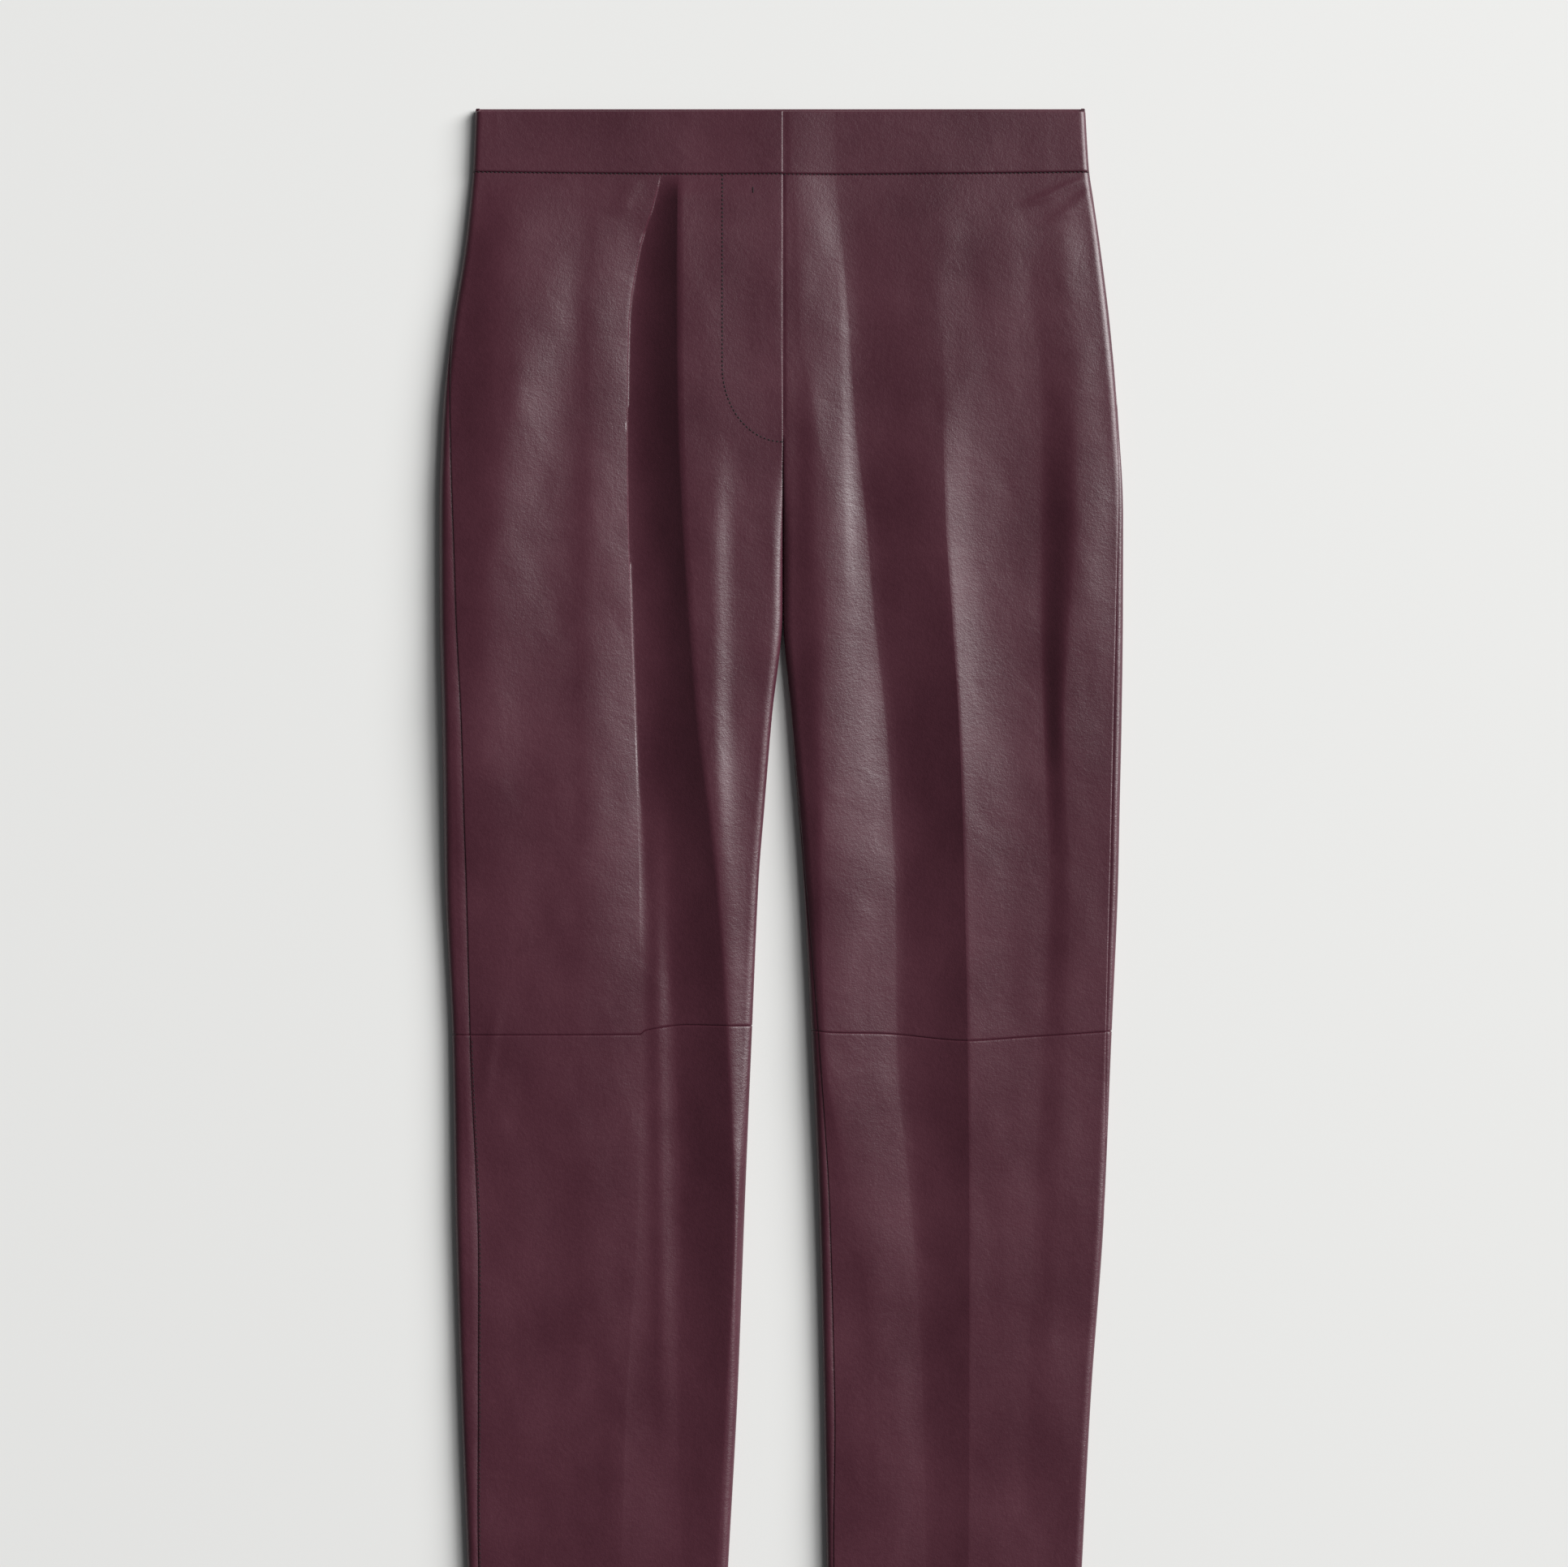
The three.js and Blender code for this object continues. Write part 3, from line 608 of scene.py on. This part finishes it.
# %% Grids of the fronts and the backs
EDGE_STEPS = 26
FOLD_STEPS = {"lee": 18, "crease": 22, "trough": 16, "swell": 26}
SEAM_LINES = [0, 0.35, 0.9, 1.7, 3]  # distances of the first rows from a seam


def waist_seam(x):
    return BAND_DEPTH + WAIST_BOW * (1 - (x / RIGHT_LEG["outer"].max()) ** 2)


def knee_seam(leg, x):
    return along(*leg["knee"], np.abs(x))


def rows_between(top, bottom, spacing=3.0, fine=0):
    """Shares of the way down for each row. fine is the depth below the top where rows are close."""
    near = [top + d for d in SEAM_LINES]
    near += list(np.arange(top + 4.2, top + fine, 1.2))
    far = [bottom - d for d in reversed(SEAM_LINES)]
    count = round((far[0] - near[-1]) / spacing)
    middle = np.linspace(near[-1], far[0], count + 1)[1:-1]
    return (np.concatenate([near, middle, far]) - top) / (bottom - top)


def eased(u):
    return 1 - np.cos(u * math.pi / 2)


def front_across(at, lap=0.0):
    """x of each column, from the side seam to the centre or the inseam."""
    seam = at["outer"] - at["side_wrap"]
    end = at["inner"] + at["in_wrap"] - lap
    u = np.linspace(0, 1, EDGE_STEPS + 1)
    parts = [seam + (at["hip"] - seam) * eased(u)]
    start = at["hip"]
    for line, n in FOLD_STEPS.items():
        shares = np.linspace(0, 1, n + 1)[1:]
        if line == "trough":
            shares = shares**2.2  # closer together at the lip
        parts.append(start + (at[line] - start) * shares)
        start = at[line]
    parts.append(end + (start - end) * eased(1 - u[1:]))
    return np.concatenate(parts, axis=1)


def lapped_height(level, x):
    return top_height(RIGHT, section(RIGHT, level), x) - LAP_DEPTH


def front_grid(leg, top, bottom, shares, lap_at=None, proud_at=None):
    shares = shares[:, None]
    nominal = top(0.0) + (bottom(0.0) - top(0.0)) * shares
    lap = lap_at(nominal) if lap_at else 0.0
    x = front_across(section(leg, nominal), lap)
    level = top(x) + (bottom(x) - top(x)) * shares
    at = section(leg, level)
    proud = proud_at(x) if proud_at else 0.0
    z = top_height(leg, at, x, proud)
    z = np.where(x < 0, lapped_height(level, -x) - under_lap(level, x), z)
    return x, level, z


BACK_ROLL_STEPS = 18
BACK_FLAT_STEPS = 36


def back_ring(leg, level):
    """x and z along the rows of a back, from the inseam under the leg and up to the side seam."""
    n = BACK_ROLL_STEPS + 1
    fork_at, flat_at, side_at = [section(leg, part) for part in np.split(level, [n, -n], axis=1)]
    inner_half, outer_half = fork_at["z_inner"] / 2, side_at["z_outer"] / 2
    u = np.linspace(0, 1, n)
    fork = -np.arccos(1 - fork_at["in_wrap"] / WRAP_SPAN)
    side = -np.arccos(1 - side_at["side_wrap"] / WRAP_SPAN)
    fork_turn = fork + (math.pi / 2 - fork) * u
    side_turn = math.pi / 2 + (side - math.pi / 2) * u
    inner_span = np.where(fork_turn < 0, WRAP_SPAN, ROLL * inner_half)
    outer_span = np.where(side_turn < 0, WRAP_SPAN, ROLL * outer_half)
    from_x = flat_at["inner"] + ROLL * flat_at["z_inner"] / 2
    to_x = flat_at["outer"] - ROLL * flat_at["z_outer"] / 2
    flat = from_x + (to_x - from_x) * np.linspace(0, 1, BACK_FLAT_STEPS + 1)[1:-1]
    fork_x = fork_at["inner"] + inner_span * (1 - np.cos(fork_turn))
    side_x = side_at["outer"] - outer_span * (1 - np.cos(side_turn))
    rise = inner_half * ramp(fork_at["level"], CROTCH - BACK_RISE, CROTCH)
    fork_z = np.where(fork_turn < 0, top_height(leg, fork_at, fork_x), rise * (1 - np.sin(fork_turn)))
    side_z = np.where(side_turn < 0, top_height(leg, side_at, side_x), outer_half * (1 - np.sin(side_turn)))
    return np.hstack([fork_x, flat, side_x]), np.hstack([fork_z, 0 * flat, side_z])


def back_grid(leg, top, bottom, shares):
    shares = shares[:, None] + np.zeros(2 * BACK_ROLL_STEPS + BACK_FLAT_STEPS + 1)
    level = top(0.0) + (bottom(0.0) - top(0.0)) * shares
    for _ in range(2):  # the seams aren't level, so a second pass finds each point's own level
        x, z = back_ring(leg, level)
        level = top(x) + (bottom(x) - top(x)) * shares
    return x, level, back_ring(leg, level)[1]


def world_grid(leg, grid):
    points = to_world(leg["side"], *grid)
    return points[:, ::-1] if leg["side"] < 0 else points


# %% [markdown]
# ## The eight leg panels
#
# Each leg has a front and a back, and each of these is cut at the knee. The hem is turned up
# inside, so the last 30 mm of the wall are thicker. Behind the fly the left front runs on under
# the right one.

# %% Make the leg panels
FLY_LAP = 8
HEM_WALL = 2.6
FOLDED_EDGE = (0.22, 0.5)  # depth and width of the roll at the centre front, a firmly pressed fold


FINE_ROWS = 36  # depth below the waist seam with close rows, for the small wrinkles there


def hem_line(x):
    return LENGTH + 0 * x


def fly_lap(level):
    return FLY_LAP * (1 - ramp(level, FLY_END - 14, FLY_END - 2))


def centre_and_side(leg):
    """Which ends of a front's rows these are. The right leg's rows are mirrored by world_grid."""
    return ("end", "start") if leg is LEFT else ("start", "end")


def leg_panels(leg):
    def knee(x):
        return knee_seam(leg, x)

    word = leg["word"]
    pieces = []
    for part, top, bottom in (("upper", waist_seam, knee), ("lower", knee, hem_line)):
        shares = rows_between(top(0.0), bottom(0.0), fine=FINE_ROWS if part == "upper" else 0)
        lap_at = fly_lap if (leg is LEFT and part == "upper") else None
        levels = top(0.0) + (bottom(0.0) - top(0.0)) * shares
        wall = LEATHER + (HEM_WALL - LEATHER) * ramp(levels, LENGTH - HEM_TURN, LENGTH - HEM_TURN + 2)
        front = world_grid(leg, front_grid(leg, top, bottom, shares, lap_at))
        back = world_grid(leg, back_grid(leg, top, bottom, shares))
        across = ["top", "bottom"] if part == "upper" else ["top"]
        centre, side = centre_and_side(leg)
        front = roll_edges(roll_edges(front, [*across, side]), [centre], *FOLDED_EDGE)
        back = roll_edges(back, [*across, "start", "end"])
        pieces.append(make_shell(f"leather_front_{part}_{word}", front, wall))
        pieces.append(make_shell(f"leather_back_{part}_{word}", back, wall))
        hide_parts(f"front_{part}_{word}")
        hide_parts(f"back_{part}_{word}")
    return pieces


panels = leg_panels(RIGHT) + leg_panels(LEFT)

# %% [markdown]
# ## The waistband
#
# The band is a folded strip with a stiffener, so it stays flat while the panels below it move.
# Its right end laps over the left one at the centre front, and hides the fastening.

# %% Make the waistband
BAND_LAP = 40
BAND_SPACING = 2.5  # between its rows
BAND_ROLL = (0.8, 1)  # depth and width, a little fuller over the stiffener


def band_front(leg, lap):
    def top(x):
        return EDGE_STEP + 0 * x

    shares = rows_between(EDGE_STEP, BAND_DEPTH, BAND_SPACING)
    lap_at = (lambda level: lap + 0 * level) if lap else None
    proud_at = (lambda x: BAND_PROUD * ramp(x, 0, BAND_LAP)) if lap else (lambda x: BAND_PROUD)
    grid = front_grid(leg, top, waist_seam, shares, lap_at, proud_at)
    centre, side = centre_and_side(leg)
    points = roll_edges(world_grid(leg, grid), ["top", "bottom", side], *BAND_ROLL)
    points = roll_edges(points, [centre], *FOLDED_EDGE)
    piece = make_shell(f"leather_waistband_front_{leg['word']}", points, BAND_WALL)
    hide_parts(f"waistband_front_{leg['word']}")
    return piece


def band_back():
    def top(x):
        return -EDGE_STEP + 0 * x

    shares = rows_between(-EDGE_STEP, BAND_DEPTH, BAND_SPACING)
    right, left = [
        to_world(leg["side"], *back_grid(leg, top, waist_seam, shares)) for leg in (RIGHT, LEFT)
    ]
    points = np.concatenate([right[:, :0:-1], left[:, 1:]], axis=1)
    points = roll_edges(points, ["top", "bottom", "start", "end"], *BAND_ROLL)
    piece = make_shell("leather_waistband_back", points, BAND_WALL)
    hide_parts("waistband_back")
    return piece


bands = [band_front(RIGHT, 0), band_front(LEFT, BAND_LAP), band_back()]

# %% [markdown]
# ## Behind the fly
#
# The zip is sewn to the left front and lies closed under the right one. A leather shield behind it
# keeps the shirt out of its teeth. Both follow the fronts, at the depth of the layers over them.

# %% Make the shield and the zip's tape
FLY_ROOT = 9  # both reach this far under the left front
BELOW_SEAM = 0.3  # their top edge starts this far below the waist seam
ZIP = {"reach": 15, "end": 201, "depth": 1.8, "wall": 0.6}
SHIELD = {"reach": 28, "end": 207, "depth": 3.2, "wall": 1.1}


def fly_strip(name, sizes, materials):
    shares = rows_between(BAND_DEPTH, sizes["end"])[:, None]
    x = FLY_ROOT - (FLY_ROOT + sizes["reach"]) * np.linspace(0, 1, 37) + 0 * shares
    top = waist_seam(x) + BELOW_SEAM
    level = top + (sizes["end"] - top) * shares
    over = np.where(
        x < 0, lapped_height(level, -x), top_height(LEFT, section(LEFT, level), np.abs(x))
    )
    points = to_world(1, x, level, over - sizes["depth"])
    return make_shell(name, points, sizes["wall"], materials)


zip_tape = fly_strip("zip_tape", ZIP, [TAPE, TAPE])
shield = fly_strip("leather_fly_shield", SHIELD, None)
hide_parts("fly_zip")
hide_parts("fly_shield")

# %% [markdown]
# ## Stitches
#
# A lockstitch shows as a row of short dashes, each pulled down into the leather at both ends. Drawing
# hundreds of them by hand would be slow, so one Geometry Nodes tree lays them along any line: it
# divides the line evenly, puts a small bead at each point and turns it along the line. The tree's
# sizes are its inputs, and every row of stitches on the garment uses the same tree.

# %% The stitch tree
def make_stitch_tree():
    tree = bpy.data.node_groups.new("row_of_stitches", "GeometryNodeTree")
    sockets = tree.interface
    sockets.new_socket("Line", in_out="INPUT", socket_type="NodeSocketGeometry")
    for name, value in (("Spacing", 0.0026), ("Length", 0.0019), ("Width", 0.0005)):
        sockets.new_socket(name, in_out="INPUT", socket_type="NodeSocketFloat").default_value = value
    sockets.new_socket("Seed", in_out="INPUT", socket_type="NodeSocketInt").default_value = 5
    sockets.new_socket("Material", in_out="INPUT", socket_type="NodeSocketMaterial")
    sockets.new_socket("Stitches", in_out="OUTPUT", socket_type="NodeSocketGeometry")
    given = add_node(tree, "NodeGroupInput").outputs
    curve = add_node(tree, "GeometryNodeMeshToCurve", Mesh=given["Line"])
    points = add_node(
        tree, "GeometryNodeResampleCurve", {"mode": "LENGTH"}, Curve=curve.outputs["Curve"],
        Length=given["Spacing"],
    )
    bead = add_node(tree, "GeometryNodeMeshUVSphere", Segments=8, Rings=6, Radius=0.5)
    tangent = add_node(tree, "GeometryNodeInputTangent")
    turn = add_node(
        tree, "FunctionNodeAlignRotationToVector", {"axis": "X"}, Vector=tangent.outputs["Tangent"]
    )
    chance = add_node(tree, "FunctionNodeRandomValue", {"data_type": "FLOAT"}, Seed=given["Seed"])
    chance.inputs[2].default_value = 0.88
    chance.inputs[3].default_value = 1.06
    length = add_node(tree, "ShaderNodeMath", {"operation": "MULTIPLY"})
    tree.links.new(given["Length"], length.inputs[0])
    tree.links.new(chance.outputs[1], length.inputs[1])
    size = add_node(
        tree, "ShaderNodeCombineXYZ", X=length.outputs[0], Y=given["Width"], Z=given["Width"]
    )
    laid = add_node(
        tree, "GeometryNodeInstanceOnPoints", Points=points.outputs["Curve"],
        Instance=bead.outputs["Mesh"], Rotation=turn.outputs["Rotation"], Scale=size.outputs["Vector"],
    )
    real = add_node(tree, "GeometryNodeRealizeInstances", Geometry=laid.outputs["Instances"])
    done = add_node(
        tree, "GeometryNodeSetMaterial", Geometry=real.outputs["Geometry"], Material=given["Material"]
    )
    tree.links.new(done.outputs["Geometry"], add_node(tree, "NodeGroupOutput").inputs["Stitches"])
    return tree


STITCHES = make_stitch_tree()


def sew(name, lines, spacing=2.6, length=1.9, width=0.5, material=THREAD):
    """Runs the tree along lines of points in metres, and keeps the result as a plain mesh."""
    vertices = np.concatenate(lines)
    edges, first = [], 0
    for line in lines:
        edges += [(first + i, first + i + 1) for i in range(len(line) - 1)]
        first += len(line)
    guide_mesh = bpy.data.meshes.new(name + "_line")
    guide_mesh.from_pydata(vertices.tolist(), edges, [])
    guide = bpy.data.objects.new(name + "_line", guide_mesh)
    bpy.context.scene.collection.objects.link(guide)
    modifier = guide.modifiers.new("stitches", "NODES")
    modifier.node_group = STITCHES
    values = {"Spacing": spacing * MM, "Length": length * MM, "Width": width * MM, "Material": material}
    for socket in STITCHES.interface.items_tree:
        if socket.name in values:
            modifier[socket.identifier] = values[socket.name]
    depsgraph = bpy.context.evaluated_depsgraph_get()
    mesh = bpy.data.meshes.new_from_object(guide.evaluated_get(depsgraph))
    mesh.name = name
    guide.modifiers.clear()
    bpy.data.objects.remove(guide)
    mesh.polygons.foreach_set("use_smooth", np.ones(len(mesh.polygons), bool))
    piece = bpy.data.objects.new(name, mesh)
    bpy.context.scene.collection.objects.link(piece)
    print(f"{name}: {len(mesh.polygons)} faces")
    return piece


# %% [markdown]
# The waist seam is stitched in the ditch between band and panels. The J of the fly is sewn through
# the right front to its facing, and a bar of dense stitches holds the fly near its top. The right side
# seam is stitched flat below the knee. The hem is turned up by 30 mm and stitched near its top.

# %% Lines to sew along
FLY_WIDTH = 38.5
FLY_TURN = 165  # level where the straight part of the J ends
TACK = {"x": 19, "from": 50.4, "to": 53.6}
HEM_LINE = LENGTH - HEM_TURN + 2
ON_TOP = 0.02  # height of a line's middle over the leather
IN_DITCH = -0.15


def on_front(leg, x, level, lift):
    x, level = np.broadcast_arrays(np.asarray(x, float), np.asarray(level, float))
    return to_world(leg["side"], x, level, top_height(leg, section(leg, level), x) + lift)


def waist_line(leg):
    x = np.linspace(1.2, leg["sections"]["outer"][1] - 1.5, 90)
    return on_front(leg, x, waist_seam(x) + 0.4, IN_DITCH)


def back_waist_line(leg):
    x = np.linspace(2, leg["sections"]["outer"][1] - 8, 60)
    return to_world(leg["side"], x, waist_seam(x) + 0.15, 0.3)


def fly_line():
    down = np.linspace(waist_seam(FLY_WIDTH) + 1, FLY_TURN, 50)
    turn = np.linspace(0, math.pi / 2, 30)[1:]
    x = np.concatenate([np.full(50, FLY_WIDTH), FLY_WIDTH * np.cos(turn)])
    level = np.concatenate([down, FLY_TURN + (FLY_END - FLY_TURN) * np.sin(turn)])
    return on_front(RIGHT, np.maximum(x, 0.8), level, ON_TOP)


def side_line(leg, top, bottom, inside):
    level = np.linspace(top, bottom, 160)
    at = section(leg, level)
    x = at["outer"] - at["side_wrap"] - inside
    return on_front(leg, x, level, ON_TOP)


def hem_stitch_line(leg, back):
    at = section(leg, np.array([HEM_LINE]))
    x = np.linspace(at["inner"][0] + 4, at["outer"][0] - 5, 80)
    if back:
        return to_world(leg["side"], x, HEM_LINE + 0 * x, 0.2)
    return on_front(leg, x, HEM_LINE + 0 * x, 0.0)


# %% Sew them
# The three numbers are the spacing, length and width of the stitches, in millimetres.
rows_of_stitches = [
    sew("stitches_waist_seam", [waist_line(RIGHT), waist_line(LEFT)], 2.7, 1.9, 0.9),
    sew("stitches_waist_seam_back", [back_waist_line(RIGHT), back_waist_line(LEFT)], 2.6, 2.0, 0.6),
    sew("stitches_fly", [fly_line()], 2.7, 1.8, 0.95),
    sew(
        "stitches_fly_tack",
        [on_front(RIGHT, TACK["x"], np.linspace(TACK["from"], TACK["to"], 9), ON_TOP)],
        0.5, 0.7, 0.8,
    ),
    sew("stitches_side_right", [side_line(RIGHT, 596, 990, 1.3)], 2.8, 2.0, 0.5),
    sew("stitches_hem", [hem_stitch_line(leg, back) for leg in (RIGHT, LEFT) for back in (0, 1)], 3.2, 2.3),
]

# %% [markdown]
# The zip's teeth are two rows of small coils, made by the same tree with another size. They and the
# slider lie between the tape and the right front, so they only show when the fly is opened.

# %% The zip's teeth and slider
TEETH = {"middle": -3, "apart": 1.1, "lift": 0.22, "top": 54, "end": 195}
SLIDER = {"top": 46, "width": 7, "length": 9, "thick": 0.45, "lift": 0.02}


def zip_row(x, top, bottom):
    level = np.linspace(top, bottom, 120)
    z = lapped_height(level, -x) - ZIP["depth"] + TEETH["lift"]
    return to_world(1, np.full(120, float(x)), level, z)


tooth_lines = [
    zip_row(TEETH["middle"] + away, TEETH["top"], TEETH["end"])
    for away in (-TEETH["apart"], TEETH["apart"])
]
teeth = sew("zip_teeth", tooth_lines, 1.5, 0.9, 0.42, ZIP_PLASTIC)

# %% [markdown]
# The slider is a rounded plate with a soft rim. A cube with a Bevel would be flat underneath, while
# rings of points around a squared-off circle can follow the tape's own curve.

# %% Make the slider
RIM = ((0, 0), (0.9, 0), (1, 0.3), (1, 0.7), (0.9, 1), (0, 1))  # shares of half width and thickness


def thin_plate(name, top, width, length, lift, corner=4):
    turn = np.linspace(0, 2 * math.pi, 48, endpoint=False)
    across = np.sign(np.cos(turn)) * np.abs(np.cos(turn)) ** (2 / corner)
    along_zip = np.sign(np.sin(turn)) * np.abs(np.sin(turn)) ** (2 / corner)
    rings = []
    for share, rise in RIM:
        x = TEETH["middle"] + across * share * width / 2
        level = top + length / 2 - along_zip * share * length / 2
        base = lapped_height(level, -x) - ZIP["depth"] + lift
        rings.append(to_world(1, x, level, base + rise * SLIDER["thick"]))
    count = len(turn)
    i = np.arange(count)
    j = (i + 1) % count
    faces = [
        np.stack([r * count + i, r * count + j, (r + 1) * count + j, (r + 1) * count + i], axis=-1)
        for r in range(len(rings) - 1)
    ]
    return make_object(name, np.concatenate(rings), np.concatenate(faces), [ZIP_PLASTIC])


slider = thin_plate(
    "zip_slider", SLIDER["top"], SLIDER["width"], SLIDER["length"], SLIDER["lift"]
)
zip_parts = [teeth, slider]
print("zip parts:", [piece.name for piece in zip_parts])

# %% [markdown]
# ## Floor, light and camera
#
# The trousers were photographed from straight above on a pale painted floor. A plane is all it takes.
# It lies half a millimetre below the leather, so that the two never share a surface and flicker.

# %% The floor
FLOOR_Z = -0.0005
FLOOR_HALF = 6.0


def make_floor():
    """Matt emulsion paint, so it shows soft shadows and no reflections."""
    material = new_material("painted_studio_floor")
    tree = material.node_tree
    shader = add_node(
        tree, "ShaderNodeBsdfPrincipled", Base_Color=linear("#dededc"), Roughness=0.9
    )
    add_node(tree, "ShaderNodeOutputMaterial", Surface=shader.outputs["BSDF"])
    flat = np.array([[-1, -1], [1, -1], [1, 1], [-1, 1]]) * FLOOR_HALF
    corners = np.column_stack([flat, np.full(4, FLOOR_Z)])
    floor = make_object("studio_floor", corners, np.array([[0, 1, 2, 3]]), [material])
    return floor


floor = make_floor()
print("floor:", 2 * FLOOR_HALF, "m wide")

# %% [markdown]
# The photographer's light is low and broad, from the upper right. It grazes the leather, which is
# what makes each fold show a bright and a dark side. A sun with a wide angle gives the same even
# light over the whole garment, where a lamp close by would fade across it. A softbox high on the
# same side adds the broad sheens, and a weak sky opens the shadows.


# %% The lights
def hang(name, light, location, direction):
    """Places a light in the scene, shining along direction."""
    lamp = bpy.data.objects.new(name, light)
    bpy.context.scene.collection.objects.link(lamp)
    lamp.location = location
    lamp.rotation_euler = Vector(direction).to_track_quat("-Z", "Y").to_euler()
    return lamp


bpy.context.scene.view_settings.view_transform = "Standard"
low_sun = bpy.data.lights.new("key_light", "SUN")
low_sun.energy = 4.5
low_sun.angle = math.radians(34)
key = hang("key_light", low_sun, (0, 0, 0), (-3.6, -1.3, -2.1))
high_box = bpy.data.lights.new("high_softbox", "AREA")
high_box.shape = "SQUARE"
high_box.size = 2.6
high_box.energy = 190
fill = hang("high_softbox", high_box, (3.4, 2.4, 5.2), (-3.4, -2.35, -5.2))
world = bpy.data.worlds.new("studio")
bpy.context.scene.world = world
world.use_nodes = True
sky = world.node_tree.nodes["Background"].inputs
sky["Color"].default_value = (0.9, 0.92, 0.95, 1)
sky["Strength"].default_value = 0.09
print("lights:", key.name, fill.name)

# %% [markdown]
# The camera looks straight down. A long lens from 2.6 m keeps the sides of the legs out of sight, as
# in the photograph. Its focal length follows from the square metre that the picture covers.

# %% The camera
CAMERA_HEIGHT = 2.6
LEATHER_TOP = 0.012
PICTURE_SIDE = 1.0  # metres across the picture, at the top of the leather
SENSOR = 36
camera_data = bpy.data.cameras.new("camera")
camera_data.sensor_width = SENSOR
camera_data.lens = SENSOR * (CAMERA_HEIGHT - LEATHER_TOP) / PICTURE_SIDE
camera = bpy.data.objects.new("camera", camera_data)
bpy.context.scene.collection.objects.link(camera)
camera.location = (0.0018, 0.0886, CAMERA_HEIGHT)
bpy.context.scene.camera = camera
print("lens:", round(camera_data.lens, 1), "mm")

# %% [markdown]
# ## Hand the pieces to the frame
#
# All pieces ride the one rigid body.

# %% Ride the one body
for piece in panels + bands:
    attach(piece, "root")
for piece, slot, width, length in (
    (zip_tape, "zip_tape", 0.024, 0.16),
    (shield, "nappa_leather", 0.037, 0.166),
):
    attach(piece, "root")

for piece in rows_of_stitches:
    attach(piece, "root")
for piece in zip_parts:
    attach(piece, "root")
print("pieces handed over:", len(panels + bands + rows_of_stitches + zip_parts) + 2)

# %% Update the view layer
bpy.context.view_layer.update()
